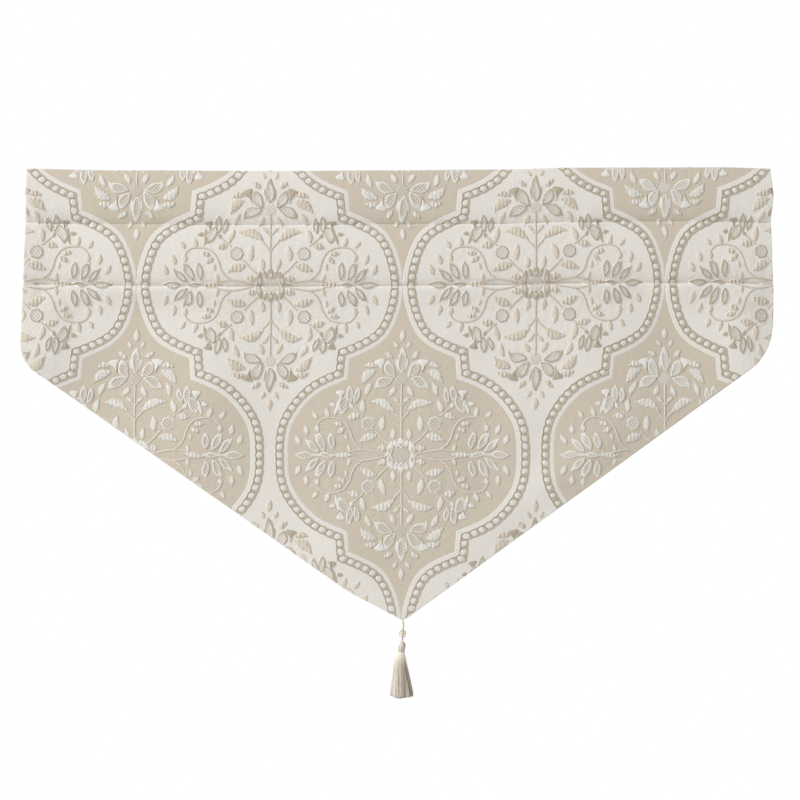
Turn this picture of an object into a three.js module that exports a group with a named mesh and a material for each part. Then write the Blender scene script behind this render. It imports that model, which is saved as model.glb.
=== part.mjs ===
// Ascot valance: one panel of jacquard cloth that hangs flat and ends in a point, with a beaded tassel.
// The cloth is turned over to the back at its top edge and sewn down along two rows. Above the upper
// row it stands as a heading; between the rows it is an empty rod pocket, open at both sides.
// Millimetres. X runs along the top edge, Y towards the wall, Z up. The origin is the middle of the top edge.
import * as THREE from "three";

// Driving sizes of the panel. "Down" is measured along the cloth from its top edge.
const CLOTH = 2; // thickness of the jacquard
const UPPER_ROW = 92; // stitch row under the heading
const LOWER_ROW = 196; // stitch row under the rod pocket
const TURNED_END = 200; // end of the cloth that is turned to the back
const LAYER_GAP = 0.8; // between the two layers of the heading
const POCKET_DEPTH = 11; // between the two layers at the middle of the pocket
const HEADING_PUFF = 5; // how far the heading swells forward
const POCKET_PUFF = 5; // how far the pocket's front swells forward
const SEWN_BAND = 1.5; // half height of the band where a stitch row presses the layers together
const HEM = 25; // width of the turned hem at the sides and the lower edge
const HEM_FOLD = 1.6; // thickness that the hem adds at the back
const HEM_STEP = 2; // width over which the hem's thickness ends

// Outline of the panel. A corner's side edge and slanting edge would meet at down = meet without its rounding.
const LEFT_CORNER = { x: -640, radius: 62, slope: 0.702, meet: 325 };
const RIGHT_CORNER = { x: 636, radius: 95, slope: 0.724, meet: 311 };
const TIP = { x: 8, down: 763, blunt: 2.5 };
const LEFT_BEND = { x: -90, soft: 60 }; // where the left edge turns flatter towards the tip

// Side edges: they lean out a little on the way down and draw in at the stitch rows.
const SIDES = [
  { down: 0, left: -630, right: 632 },
  { down: 45, left: -631, right: 636.5 },
  { down: UPPER_ROW, left: -631.5, right: 633 },
  { down: 144, left: -633.5, right: 634.5 },
  { down: LOWER_ROW, left: -635, right: 636.5 },
  { down: 240, left: -637.5, right: 637 },
  { down: 300, left: LEFT_CORNER.x, right: RIGHT_CORNER.x },
];

// The top edge rises and falls a little from end to end.
const TOP_EDGE = [
  { x: -630, lift: 2.5 },
  { x: -480, lift: 0 },
  { x: -200, lift: -1 },
  { x: 0, lift: 0 },
  { x: 180, lift: 1.5 },
  { x: 300, lift: 4.5 },
  { x: 560, lift: 5 },
  { x: 630, lift: 3 },
];

// Soft ridges and troughs, each a bell-shaped swelling. turn is in degrees from upright.
const FOLDS = [
  { x: -560, down: 45, across: 60, along: 35, turn: 0, forward: 1.6 },
  { x: -330, down: 60, across: 90, along: 30, turn: 0, forward: 1.0 },
  { x: 90, down: 55, across: 120, along: 30, turn: 0, forward: -0.9 },
  { x: 480, down: 45, across: 100, along: 35, turn: 0, forward: 1.2 },
  { x: -590, down: 290, across: 35, along: 120, turn: 10, forward: 4.5 },
  { x: -480, down: 360, across: 55, along: 130, turn: 16, forward: -4 },
  { x: -330, down: 400, across: 60, along: 150, turn: 8, forward: 4.5 },
  { x: -190, down: 430, across: 50, along: 150, turn: -4, forward: -3 },
  { x: -90, down: 640, across: 70, along: 60, turn: 40, forward: 5 },
  { x: 60, down: 470, across: 80, along: 200, turn: 4, forward: 4 },
  { x: 190, down: 520, across: 55, along: 110, turn: -20, forward: -4 },
  { x: 330, down: 420, across: 65, along: 130, turn: -10, forward: 4 },
  { x: 470, down: 330, across: 55, along: 110, turn: -14, forward: -4 },
  { x: 585, down: 270, across: 35, along: 90, turn: -6, forward: 4.5 },
];
const FREE_FROM = 230; // from here down the cloth hangs free, and its folds reach their full depth
const HEADING_SHARE = 0.8; // share of a fold's depth that shows in the heading
const HEADING_END = 20; // height above the upper row over which the heading's folds end

// Where the sections have their points, besides those at the stitch rows and the top fold.
const HEADING_ROWS = [8, 24, 42, 60, 76, 88];
const POCKET_ROWS = [98, 112, 128, 144, 160, 176, 190];
const PANEL_ROWS = [0.04, 0.14, 0.27, 0.4, 0.55, 0.7, 0.85]; // shares of the way from the turned end to the hem
const FOLD_ARC = [45, 90, 135]; // degrees round the top fold
const EDGE_SECTIONS = [0, 1.2, 5, 14, HEM, HEM + HEM_STEP, 54]; // in from each side edge
const SECTIONS_TO_TIP = 12; // on each side, besides those at the edges
const ROUNDNESS = 2.4; // how full a swelling stands between two stitch rows: 2 is a parabola

// Tassel, hung from the tip by a twisted cord that runs through a bead. Heights are in the part's frame.
const HANGER = { diameter: 2.4, sides: 8, top: -763.6, end: -799.3, steps: 18 };
const HANGER_ROUTE = [
  { x: 8.0, y: -0.9, z: HANGER.top },
  { x: 8.6, y: -1.0, z: -767.5 },
  { x: 9.3, y: -1.1, z: -771.5 },
  { x: 9.1, y: -1.1, z: -776 },
  { x: 8.3, y: -1.0, z: -781 },
  { x: 8.2, y: -1.0, z: -786.7 },
  { x: 8.1, y: -1.0, z: -792.5 },
  { x: 7.7, y: -0.9, z: -796 },
  { x: 7.3, y: -0.8, z: HANGER.end },
];
const BEAD = { x: 8.2, y: -1.0, z: -786.7, radius: 6.5, height: 11.8, hole: 1.75, facets: 12 };
const BINDING = { z: -816, radius: 5.6, height: 5.4, inside: 4.4, segments: 20 };
const TASSEL = { x: 7, y: -0.8, top: -799.8, lobes: 13, segments: 52 };
// Rows down the bundle of threads: half width, and how deep the locks of thread are grooved.
const BUNDLE = [
  { z: TASSEL.top, radius: 3.4, groove: 0 },
  { z: -802, radius: 5.5, groove: 0.01 },
  { z: -806, radius: 6.6, groove: 0.02 },
  { z: -810.5, radius: 6.2, groove: 0.02 },
  { z: -813, radius: 4.1, groove: 0 },
  { z: -819, radius: 4.1, groove: 0 },
  { z: -822.5, radius: 6.8, groove: 0.03 },
  { z: -830, radius: 10, groove: 0.05 },
  { z: -841, radius: 12.4, groove: 0.07 },
  { z: -854, radius: 13.8, groove: 0.08 },
  { z: -868, radius: 15.2, groove: 0.09 },
  { z: -880, radius: 17.2, groove: 0.1 },
  { z: -889, radius: 19.2, groove: 0.11 },
  { z: -893.5, radius: 19.4, groove: 0.11 },
];
const UNEVEN_LOCKS = 0.4; // how unlike the locks of thread are round the skirt
const SKIRT_SWAY = 1.6; // how much further the middle of the skirt's end hangs than its rim

const COLOURS = { cloth: "#d9d2c6", cord: "#d8cbb6", bead: "#efe6d2", threads: "#cbbda6" };

// Value of a column at a place between a table's rows, eased so that it has no kinks.
function between(table, key, column, at) {
  const last = table.length - 1;
  if (at <= table[0][key]) return table[0][column];
  if (at >= table[last][key]) return table[last][column];
  const i = table.findIndex((row) => row[key] > at) - 1;
  const share = (at - table[i][key]) / (table[i + 1][key] - table[i][key]);
  return THREE.MathUtils.lerp(table[i][column], table[i + 1][column], THREE.MathUtils.smoothstep(share, 0, 1));
}

// Lower edge near a corner: an arc that meets the upright side and the slanting edge.
function cornerDown(corner, inward) {
  const { radius, slope, meet } = corner;
  const slant = Math.hypot(1, slope);
  const arcEnd = radius * (1 - slope / slant);
  if (inward >= arcEnd) return meet + slope * inward;
  const centre = meet + slope * radius - radius * slant;
  return centre + Math.sqrt(Math.max(0, radius ** 2 - (radius - inward) ** 2));
}

// Lower edge of the panel: how far down the cloth reaches at a place along its width.
function lowerEdge(x) {
  if (x > TIP.x) {
    const slanting = cornerDown(RIGHT_CORNER, RIGHT_CORNER.x - x);
    return Math.min(slanting, TIP.down);
  }
  const steep = cornerDown(LEFT_CORNER, x - LEFT_CORNER.x);
  const bendDown = LEFT_CORNER.meet + LEFT_CORNER.slope * (LEFT_BEND.x - LEFT_CORNER.x);
  const flat = THREE.MathUtils.mapLinear(x, LEFT_BEND.x, TIP.x - TIP.blunt, bendDown, TIP.down);
  const eased = THREE.MathUtils.smoothstep(x, LEFT_BEND.x - LEFT_BEND.soft, LEFT_BEND.x + LEFT_BEND.soft);
  return Math.min(THREE.MathUtils.lerp(steep, Math.min(steep, flat), eased), TIP.down);
}

// Sum of the soft folds at a place on the cloth.
function foldsAt(x, down) {
  const freedom = THREE.MathUtils.smoothstep(down, LOWER_ROW, FREE_FROM);
  const held = HEADING_SHARE * (1 - THREE.MathUtils.smoothstep(down, UPPER_ROW - HEADING_END, UPPER_ROW));
  const sum = FOLDS.reduce((total, fold) => {
    const angle = THREE.MathUtils.degToRad(fold.turn);
    const [dx, dz] = [x - fold.x, down - fold.down];
    const across = (dx * Math.cos(angle) + dz * Math.sin(angle)) / fold.across;
    const along = (dz * Math.cos(angle) - dx * Math.sin(angle)) / fold.along;
    return total + fold.forward * Math.exp(-(across ** 2) - along ** 2);
  }, 0);
  return sum * Math.max(freedom, held);
}

// Swelling between two places down the cloth: 0 at both and 1 halfway.
function swelling(down, from, to) {
  const share = THREE.MathUtils.clamp((down - from) / (to - from), 0, 1);
  return 1 - Math.abs(2 * share - 1) ** ROUNDNESS;
}

// Forward face of the cloth, as a distance in front of the plane through the stitch rows.
function frontFace(x, down) {
  const heading = HEADING_PUFF * swelling(down, 0, UPPER_ROW);
  const pocket = POCKET_PUFF * swelling(down, UPPER_ROW, LOWER_ROW);
  return CLOTH + heading + pocket + foldsAt(x, down);
}

// Free space between the front layer and the turned layer.
function layerGap(down) {
  if (down < UPPER_ROW) return LAYER_GAP;
  return POCKET_DEPTH * swelling(down, UPPER_ROW, LOWER_ROW);
}

// One upright section through the panel, at a share of its width from 0 at the left to 1 at the right.
// Returns closed loops of points: the outside, and the spaces inside the heading and the pocket.
function sectionAt(share) {
  const nominal = THREE.MathUtils.lerp(LEFT_CORNER.x, RIGHT_CORNER.x, share);
  const bottom = lowerEdge(nominal);
  const placeX = (down) =>
    THREE.MathUtils.lerp(between(SIDES, "down", "left", down), between(SIDES, "down", "right", down), share);
  const placeZ = (down) => {
    const fade = 1 - THREE.MathUtils.smoothstep(down, LOWER_ROW, bottom);
    return -down + between(TOP_EDGE, "x", "lift", nominal) * fade;
  };
  const point = (y, down) => new THREE.Vector3(placeX(down), y, placeZ(down));
  const front = (down) => -frontFace(placeX(down), down);
  const turnedIn = (down) => front(down) + CLOTH + layerGap(down);
  const turnedOut = (down) => turnedIn(down) + CLOTH;

  const slant = Math.hypot(1, LEFT_CORNER.slope);
  const hemTop = bottom - HEM * slant;
  const nearSide = Math.min(nominal - LEFT_CORNER.x, RIGHT_CORNER.x - nominal) <= HEM;
  const hemAt = (down) => (nearSide || down > hemTop + HEM_STEP / 2 ? HEM_FOLD : 0);
  const back = (down) => front(down) + CLOTH + hemAt(down);

  const panelRows = PANEL_ROWS.map((part) => THREE.MathUtils.lerp(TURNED_END, hemTop, part));
  panelRows.push(hemTop, hemTop + HEM_STEP, bottom);
  const foldRadius = CLOTH + LAYER_GAP / 2;
  const turnedRows = [foldRadius, ...HEADING_ROWS, UPPER_ROW, ...POCKET_ROWS, LOWER_ROW, TURNED_END];
  const foldArc = FOLD_ARC.map((degrees) => {
    const angle = THREE.MathUtils.degToRad(degrees);
    const middle = front(foldRadius) + foldRadius;
    return point(middle + foldRadius * Math.cos(angle), foldRadius - foldRadius * Math.sin(angle));
  });

  const outside = [
    ...panelRows.toReversed().map((down) => point(back(down), down)),
    point(front(TURNED_END) + CLOTH, TURNED_END),
    ...turnedRows.toReversed().map((down) => point(turnedOut(down), down)),
    ...foldArc,
    ...turnedRows.map((down) => point(front(down), down)),
    ...panelRows.map((down) => point(front(down), down)),
  ];
  const space = (rows, from, to) => {
    const closed = (down) => point(front(down) + CLOTH + layerGap(down) / 2, down);
    return [
      closed(from),
      ...rows.map((down) => point(turnedIn(down), down)),
      closed(to),
      ...rows.toReversed().map((down) => point(front(down) + CLOTH, down)),
    ];
  };
  const headingSpace = space(HEADING_ROWS, CLOTH + LAYER_GAP, UPPER_ROW - SEWN_BAND);
  const pocketSpace = space(POCKET_ROWS, UPPER_ROW + SEWN_BAND, LOWER_ROW - SEWN_BAND);
  return [outside, headingSpace, pocketSpace];
}

// A closed geometry from a list of triangles, each three points.
function fromTriangles(triangles) {
  const positions = triangles.flat().flatMap((p) => [p.x, p.y, p.z]);
  const geometry = new THREE.BufferGeometry();
  geometry.setAttribute("position", new THREE.Float32BufferAttribute(positions, 3));
  geometry.computeVertexNormals();
  return geometry;
}

// Joins matching loops of neighbouring sections by two triangles for each pair of points.
function bridge(loopA, loopB) {
  return loopA.flatMap((a, k) => {
    const next = (k + 1) % loopA.length;
    return [
      [a, loopA[next], loopB[next]],
      [a, loopB[next], loopB[k]],
    ];
  });
}

// Closes an end section: its outside with the spaces left open.
function endCap(loops, facing) {
  const flat = loops.map((loop) => loop.map((p) => new THREE.Vector2(p.y, p.z)));
  const points = loops.flat();
  return THREE.ShapeUtils.triangulateShape(flat[0], flat.slice(1)).map((corners) => {
    const triangle = corners.map((index) => points[index]);
    return facing > 0 ? triangle : triangle.toReversed();
  });
}

// Places of the sections, as shares of the width. They stand close together at the rounded corners
// and hems, and evenly on both sides of the tip.
function sectionShares() {
  const width = RIGHT_CORNER.x - LEFT_CORNER.x;
  const even = (from, to) => {
    const step = (to - from) / (SECTIONS_TO_TIP + 1);
    return Array.from({ length: SECTIONS_TO_TIP }, (_, i) => from + step * (i + 1));
  };
  const fromLeft = EDGE_SECTIONS;
  const fromRight = EDGE_SECTIONS.map((inset) => width - inset).toReversed();
  const tip = [-TIP.blunt, TIP.blunt].map((aside) => TIP.x + aside - LEFT_CORNER.x);
  const leftHalf = [...fromLeft, ...even(fromLeft.at(-1), tip[0]), tip[0]];
  const rightHalf = [tip[1], ...even(tip[1], fromRight[0]), ...fromRight];
  const insets = [...leftHalf, ...rightHalf];
  return insets.map((inset) => inset / width);
}

function clothGeometry() {
  const sections = sectionShares().map(sectionAt);
  const sides = sections.slice(1).flatMap((section, i) => {
    return section.flatMap((loop, k) => bridge(sections[i][k], loop));
  });
  return fromTriangles([...endCap(sections[0], -1), ...sides, ...endCap(sections.at(-1), 1)]);
}

// Cord through the bead, along a smooth curve.
function hangerGeometry() {
  const route = HANGER_ROUTE.map(({ x, y, z }) => new THREE.Vector3(x, y, z));
  const section = new THREE.Shape();
  const radius = HANGER.diameter / 2;
  const angles = Array.from({ length: HANGER.sides }, (_, i) => (2 * Math.PI * i) / HANGER.sides);
  section.setFromPoints(angles.map((a) => new THREE.Vector2(radius * Math.cos(a), radius * Math.sin(a))));
  return new THREE.ExtrudeGeometry(section, {
    extrudePath: new THREE.CatmullRomCurve3(route),
    steps: HANGER.steps,
    bevelEnabled: false,
  });
}

// Faceted bead with a hole down its middle, as a closed profile turned round.
function beadGeometry() {
  const half = BEAD.height / 2;
  const profile = [
    [BEAD.hole, -half],
    [BEAD.radius * 0.55, -half],
    [BEAD.radius * 0.9, -half * 0.45],
    [BEAD.radius, 0],
    [BEAD.radius * 0.9, half * 0.45],
    [BEAD.radius * 0.55, half],
    [BEAD.hole, half],
    [BEAD.hole, -half],
  ].map(([radius, height]) => new THREE.Vector2(radius, height));
  return new THREE.LatheGeometry(profile, BEAD.facets).rotateX(Math.PI / 2);
}

// Thread wound round the neck of the tassel.
function bindingGeometry() {
  const half = BINDING.height / 2;
  const profile = [
    [BINDING.inside, -half],
    [BINDING.radius * 0.92, -half],
    [BINDING.radius, -half * 0.5],
    [BINDING.radius, half * 0.5],
    [BINDING.radius * 0.92, half],
    [BINDING.inside, half],
    [BINDING.inside, -half],
  ].map(([radius, height]) => new THREE.Vector2(radius, height));
  return new THREE.LatheGeometry(profile, BINDING.segments).rotateX(Math.PI / 2);
}

// The bundle of threads that is head and skirt in one, grooved into locks towards its end.
function bundleGeometry() {
  const ring = ({ z, radius, groove }) =>
    Array.from({ length: TASSEL.segments }, (_, i) => {
      const angle = (2 * Math.PI * i) / TASSEL.segments;
      const locks = Math.cos(TASSEL.lobes * angle) + UNEVEN_LOCKS * Math.cos(3 * angle + 1);
      const reach = radius * (1 + groove * locks);
      return new THREE.Vector3(reach * Math.cos(angle), reach * Math.sin(angle), z);
    });
  const rings = BUNDLE.map(ring);
  const cap = (loop, z) => {
    const middle = new THREE.Vector3(0, 0, z);
    return loop.map((p, i) => [middle, p, loop[(i + 1) % loop.length]]);
  };
  const end = BUNDLE.at(-1).z - SKIRT_SWAY;
  const sides = rings.slice(1).flatMap((loop, i) => bridge(loop, rings[i]));
  const bottom = cap(rings.at(-1), end).map((triangle) => triangle.toReversed());
  return fromTriangles([...cap(rings[0], TASSEL.top), ...sides, ...bottom]);
}

function piece(name, geometry, colour, roughness, place = [0, 0, 0]) {
  const material = new THREE.MeshStandardMaterial({ color: colour, roughness, metalness: 0 });
  const mesh = new THREE.Mesh(geometry, material);
  mesh.name = name;
  mesh.position.set(...place);
  return mesh;
}

const valance = new THREE.Group();
valance.add(
  piece("panel_cloth", clothGeometry(), COLOURS.cloth, 0.85),
  piece("tassel_hanger", hangerGeometry(), COLOURS.cord, 0.7),
  piece("tassel_bead", beadGeometry(), COLOURS.bead, 0.15, [BEAD.x, BEAD.y, BEAD.z]),
  piece("tassel_binding", bindingGeometry(), COLOURS.cord, 0.6, [TASSEL.x, TASSEL.y, BINDING.z]),
  piece("tassel_threads", bundleGeometry(), COLOURS.threads, 0.55, [TASSEL.x, TASSEL.y, 0]),
);

export default valance;
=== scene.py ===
"""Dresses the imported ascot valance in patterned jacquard, with stitching, twisted cord, bead and tassel.

Shapes are worked out in millimetres and turned to metres when a mesh is made. A place on the cloth is
given flat, as it was before sewing: x across, and v down the face from the top edge. Where v is below
zero, the cloth is the part that is turned over to the back.
"""

import math
from collections import namedtuple

import bmesh
import bpy
import numpy as np
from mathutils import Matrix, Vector


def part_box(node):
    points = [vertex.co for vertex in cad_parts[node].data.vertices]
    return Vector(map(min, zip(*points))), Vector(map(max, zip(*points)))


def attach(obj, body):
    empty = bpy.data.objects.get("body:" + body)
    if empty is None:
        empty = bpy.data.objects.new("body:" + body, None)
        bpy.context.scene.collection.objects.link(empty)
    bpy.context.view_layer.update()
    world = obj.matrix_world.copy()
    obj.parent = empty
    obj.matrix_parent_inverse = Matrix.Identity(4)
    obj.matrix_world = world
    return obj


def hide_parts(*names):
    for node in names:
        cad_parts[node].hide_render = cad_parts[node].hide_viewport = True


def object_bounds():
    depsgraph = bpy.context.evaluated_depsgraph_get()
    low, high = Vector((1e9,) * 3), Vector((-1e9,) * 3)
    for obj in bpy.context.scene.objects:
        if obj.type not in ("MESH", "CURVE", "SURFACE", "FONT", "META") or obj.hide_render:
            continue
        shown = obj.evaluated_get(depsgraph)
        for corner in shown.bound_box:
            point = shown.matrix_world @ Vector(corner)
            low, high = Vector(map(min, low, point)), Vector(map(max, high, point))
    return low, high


bl_info = {
    "name": "Ascot Valance",
    "version": (1, 0, 0),
    "blender": (4, 5, 0),
    "location": "3D View > Sidebar > Valance",
    "description": "Builds a patterned ascot valance with its beaded tassel round a packed frame",
    "category": "Object",
}

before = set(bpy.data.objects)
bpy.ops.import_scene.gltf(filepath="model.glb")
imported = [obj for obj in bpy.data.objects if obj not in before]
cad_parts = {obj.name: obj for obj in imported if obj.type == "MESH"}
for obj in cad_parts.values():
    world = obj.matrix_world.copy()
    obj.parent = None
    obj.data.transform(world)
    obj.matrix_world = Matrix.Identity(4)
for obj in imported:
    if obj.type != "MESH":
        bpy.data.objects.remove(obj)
CAD_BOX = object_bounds()
MM = 0.001
SEED = 20

# The sewn panel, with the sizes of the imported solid, in millimetres.
LAYER = 2.0  # thickness of one layer of the solid
UPPER_ROW = 92.0  # how far down the two stitch rows lie
LOWER_ROW = 196.0
TURNED_END = 200.0  # how far the cloth that is turned over hangs down the back
LAYER_GAP = 0.8  # between the face and the turned layer in the heading
POCKET_DEPTH = 11.0  # the same in the middle of the rod pocket
HEADING_PUFF = 5.0  # how far the face swells forward in the heading
POCKET_PUFF = 5.0  # and in the pocket
ROUNDNESS = 2.4  # power of that swelling's curve
HEM = 25.0
FREE_FROM = 230.0  # from here down the folds have their full depth
HEADING_SHARE = 0.8  # share of the folds' depth in the heading
HEADING_END = 20.0  # they fade out over this reach above the upper row

# Lower corners: x, radius, slope of the edge past the arc, and how far down that slope meets the side.
Corner = namedtuple("Corner", "x radius slope meet")
LEFT_CORNER = Corner(-640, 62, 0.702, 325)
RIGHT_CORNER = Corner(636, 95, 0.724, 311)
TIP_X, TIP_DOWN, TIP_BLUNT = 8.0, 763.0, 2.5
BEND_X, BEND_SOFT = -90.0, 60.0  # the left slant bends here, softly over this reach

LEFTMOST, RIGHTMOST = -640.0, 637.0  # the cloth's reach to both sides
# Side edges: down, left, right.
SIDES = np.array(
    [
        (0, -630, 632),
        (45, -631, 636.5),
        (92, -631.5, 633),
        (144, -633.5, 634.5),
        (196, -635, 636.5),
        (240, -637.5, 637),
        (300, -640, 636),
    ]
)
# Top edge: x, lift.
TOP_EDGE = np.array(
    [(-630, 2.5), (-480, 0), (-200, -1), (0, 0), (180, 1.5), (300, 4.5), (560, 5), (630, 3)]
)
# Soft ridges and troughs: x, down, across, along, turn in degrees from upright, forward.
Fold = namedtuple("Fold", "x down across along turn forward")
FOLDS = [
    Fold(-560, 45, 60, 35, 0, 1.6),
    Fold(-330, 60, 90, 30, 0, 1.0),
    Fold(90, 55, 120, 30, 0, -0.9),
    Fold(480, 45, 100, 35, 0, 1.2),
    Fold(-590, 290, 35, 120, 10, 4.5),
    Fold(-480, 360, 55, 130, 16, -4),
    Fold(-330, 400, 60, 150, 8, 4.5),
    Fold(-190, 430, 50, 150, -4, -3),
    Fold(-90, 640, 70, 60, 40, 5),
    Fold(60, 470, 80, 200, 4, 4),
    Fold(190, 520, 55, 110, -20, -4),
    Fold(330, 420, 65, 130, -10, 4),
    Fold(470, 330, 55, 110, -14, -4),
    Fold(585, 270, 35, 90, -6, 4.5),
]
# Small creases that start at the stitch rows, most of them near the side edges. The last four are wider:
# the left edge, the left corner, the right slanting hem and the cloth inside it stand forward.
CREASES = [
    Fold(-612, 84, 9, 26, -28, 1.5),
    Fold(-588, 112, 10, 22, 24, -1.3),
    Fold(-560, 186, 12, 26, -20, 1.2),
    Fold(-606, 214, 10, 24, 30, -1.4),
    Fold(-512, 78, 16, 20, 14, 1.0),
    Fold(-430, 106, 15, 18, -12, 0.9),
    Fold(-300, 84, 18, 18, 8, -0.8),
    Fold(-238, 182, 16, 18, -10, 0.9),
    Fold(-120, 80, 17, 17, 12, 0.9),
    Fold(-40, 208, 18, 20, -8, -0.8),
    Fold(60, 82, 20, 18, -14, 0.8),
    Fold(140, 184, 16, 18, 10, 0.8),
    Fold(252, 104, 18, 18, 9, -0.8),
    Fold(330, 80, 16, 18, -10, 1.0),
    Fold(420, 186, 18, 20, 12, -0.9),
    Fold(508, 82, 14, 20, -16, 1.1),
    Fold(566, 108, 12, 22, 22, -1.2),
    Fold(604, 180, 11, 24, -34, 1.8),
    Fold(602, 212, 11, 24, 36, 1.7),
    Fold(616, 84, 9, 24, 26, 1.4),
    Fold(572, 160, 34, 22, 0, 2.2),
    Fold(560, 228, 40, 16, 0, 1.8),
    Fold(-590, 72, 40, 16, 0, 1.6),
    Fold(-600, 232, 34, 18, 0, 1.6),
    Fold(-655, 190, 55, 300, 0, 7.0),
    Fold(-652, 340, 50, 90, 0, 7.0),
    Fold(274, 518, 32, 180, 54, 4.5),
    Fold(195, 470, 45, 90, 0, 6.0),
]
GROOVE_DEPTH = 3.0  # how far a stitch row pulls the face in
GROOVE_ABOVE, GROOVE_BELOW = 7.0, 1.3  # how far its groove reaches from the row
GROOVE_LIP = 0.5  # height of the low ridge that follows the groove
GATHER, GATHER_REACH = 0.28, 7.0  # height of the small gathers, and where they are highest
LIP = 8.0  # how far the loose cloth stands forward just below the lower row
LIP_START, LIP_FALL = 2.0, 30.0  # how soon it stands out, and how far down it reaches
# Uneven along the row: x, share.
LIP_SHARE = np.array(
    [
        (-640, 0.8), (-410, 1.1), (-30, 0.6), (45, 1), (200, 0.8),
        (330, 0.9), (420, 0.3), (495, 1.1), (640, 0.9),
    ]
)
ROLL = 1.1  # radius at which hems turn

# The woven pattern: an ogee lattice. One medallion is centred at PATTERN_X and PATTERN_V, and those of the
# two grounds stand half a repeat apart.
PATTERN_X, PATTERN_V = -216.5, 194.8
REPEAT_X, REPEAT_V = 450.0, 577.2
# A quarter of the lattice line, from a medallion's side to its point: across, up. It turns sharply twice.
BODY_ARC = [
    (211.5, 0), (209, 22), (204, 42), (197, 61), (187, 78), (172, 91), (153, 101), (138, 107.5),
    (121, 114.5),
]
NECK_ARC = [
    (118, 149.5), (97, 158), (83, 165), (69.5, 173.5), (57.5, 184), (47, 195), (38.5, 206), (30.5, 218.5),
    (23.6, 233), (19, 250), (17, 268), (16.6, 288.6),
]
# The chain: links and the bars between them. To the right the links are smaller and the bars longer, which
# darkens the chain there as painted shade.
LINK_PITCH = 14.0
LINK_LONG, LINK_WIDE, LINK_SHRINK = 11.6, 11.3, 1.9
BAR_LONG, BAR_WIDE, BAR_GROWTH = 3.6, 10.5, 1.8
LINK_SLANT = 0.15  # sideways lean of both
# Sideways shift of the pattern at both sides and, below the stitch rows, in bells: middle, shift.
SKEW_LEFT, SKEW_RIGHT, SKEW_REACH = -3.0, -11.0, 150.0
SKEW_BELLS = [(-370, -5), (50, -3)]
# Section of the woven band that carries the chain: offset towards the beige side, height.
BAND_SECTION = np.array(
    [
        (-8.0, -0.3), (-7.0, 0.35), (-6.2, 1.15), (-5.4, 1.1), (-4.6, 0.4), (-3.6, 0.1), (0, 0.05),
        (3.6, 0.1), (4.6, 0.4), (5.4, 1.1), (6.2, 1.15), (7.0, 0.35), (8.2, 0.2), (12.0, 0.25),
        (14.4, 0.12), (15.6, -0.3),
    ]
)
BAND_HALF = 7.1  # from the lattice line to the outside of its side cord
BAND_CORD = 2.6  # width of the dark cord at each side of the chain
BAND_SWING = 0.7  # how far that cord swings out and in
GROUND_EDGE = 12.0  # where the ground turns beige, under the band

# Leaves and petals of a quarter medallion, in millimetres from its centre: x and up of the middle, length,
# width, turn of the tip in degrees from +X, sideways bend, ribs across, and where along it is widest.
Leaf = namedtuple("Leaf", "x up long wide turn bend ribs peak", defaults=(0, 0, 0.46))
RIB_PITCH = 6.6  # ribs stand upright across the broad leaves
PUCKER = 0.9  # width of ground that swells up round a raised figure
DIP = -0.3  # the rim of a raised figure lies this far below the face, so that no gap shows
LOW_RELIEF = 0.8  # share of the height that the figures of the beige ground have
QUARTER_LEAVES = [
    Leaf(14.5, 36, 20, 9, 86, 1),
    Leaf(33, 12, 16, 10, 8, 0, 3),
    Leaf(31.5, 54, 29, 11, 97, -1.5),
    Leaf(57, 28, 33, 13, -18, 2, 4),
    Leaf(65, 83, 26, 10, 101, -1.5),
    Leaf(82, 65, 21, 11, -12, 1, 3),
    Leaf(33, 80.5, 46, 14, 20, 8, 5, 0.5),
    Leaf(9, 94, 14, 6, 42),
    Leaf(16, 108, 20, 9, -62, -1),
    Leaf(56, 111, 25, 9, -68, 2),
    Leaf(56, 132, 36, 15, -38, 5, 5),
    Leaf(54, 150, 23, 9, -6, 3, 3),
    Leaf(23, 170, 17, 8, 40, 0, 2),
    Leaf(11, 187, 13, 6.5, 62),
    Leaf(127, 72, 19, 8, 76),
    Leaf(148, 68, 15, 7.5, 58),
    Leaf(109, 53, 16, 8, 14, 0, 2),
    Leaf(103, 42, 16, 8, -36, 0, 2),
    Leaf(95, 31, 13, 5, 82),
    Leaf(90, 12, 15, 6, 78),
    Leaf(144, 45, 13, 8, -98),
    Leaf(163, 43, 18, 8.5, 82),
    Leaf(177, 26, 19, 9, 66),
]
AXIS_LEAVES = [Leaf(0, 203, 22, 9, 90)]
SIDE_LEAVES = [Leaf(100, 0, 38, 9, 0, 0, 5, 0.5)]
QUARTER_PETALS = [
    Leaf(120, 24, 29, 11.5, 84, 0, 0, 0.5),
    Leaf(137, 22.5, 32, 13.5, 68, -1, 0, 0.55),
    Leaf(151, 15.5, 29, 11, 48, -1, 0, 0.55),
    Leaf(18.5, 146, 33, 17, 60, -3, 0, 0.55),
    Leaf(29.5, 123, 35, 17, -24, 2, 0, 0.55),
    Leaf(77.5, 101, 27, 9.5, 102, 1, 0, 0.5),
    Leaf(88.5, 103, 30, 12, 92, 0, 0, 0.5),
    Leaf(98.5, 84.5, 31, 17, -67, 2, 0, 0.5),
]
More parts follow.
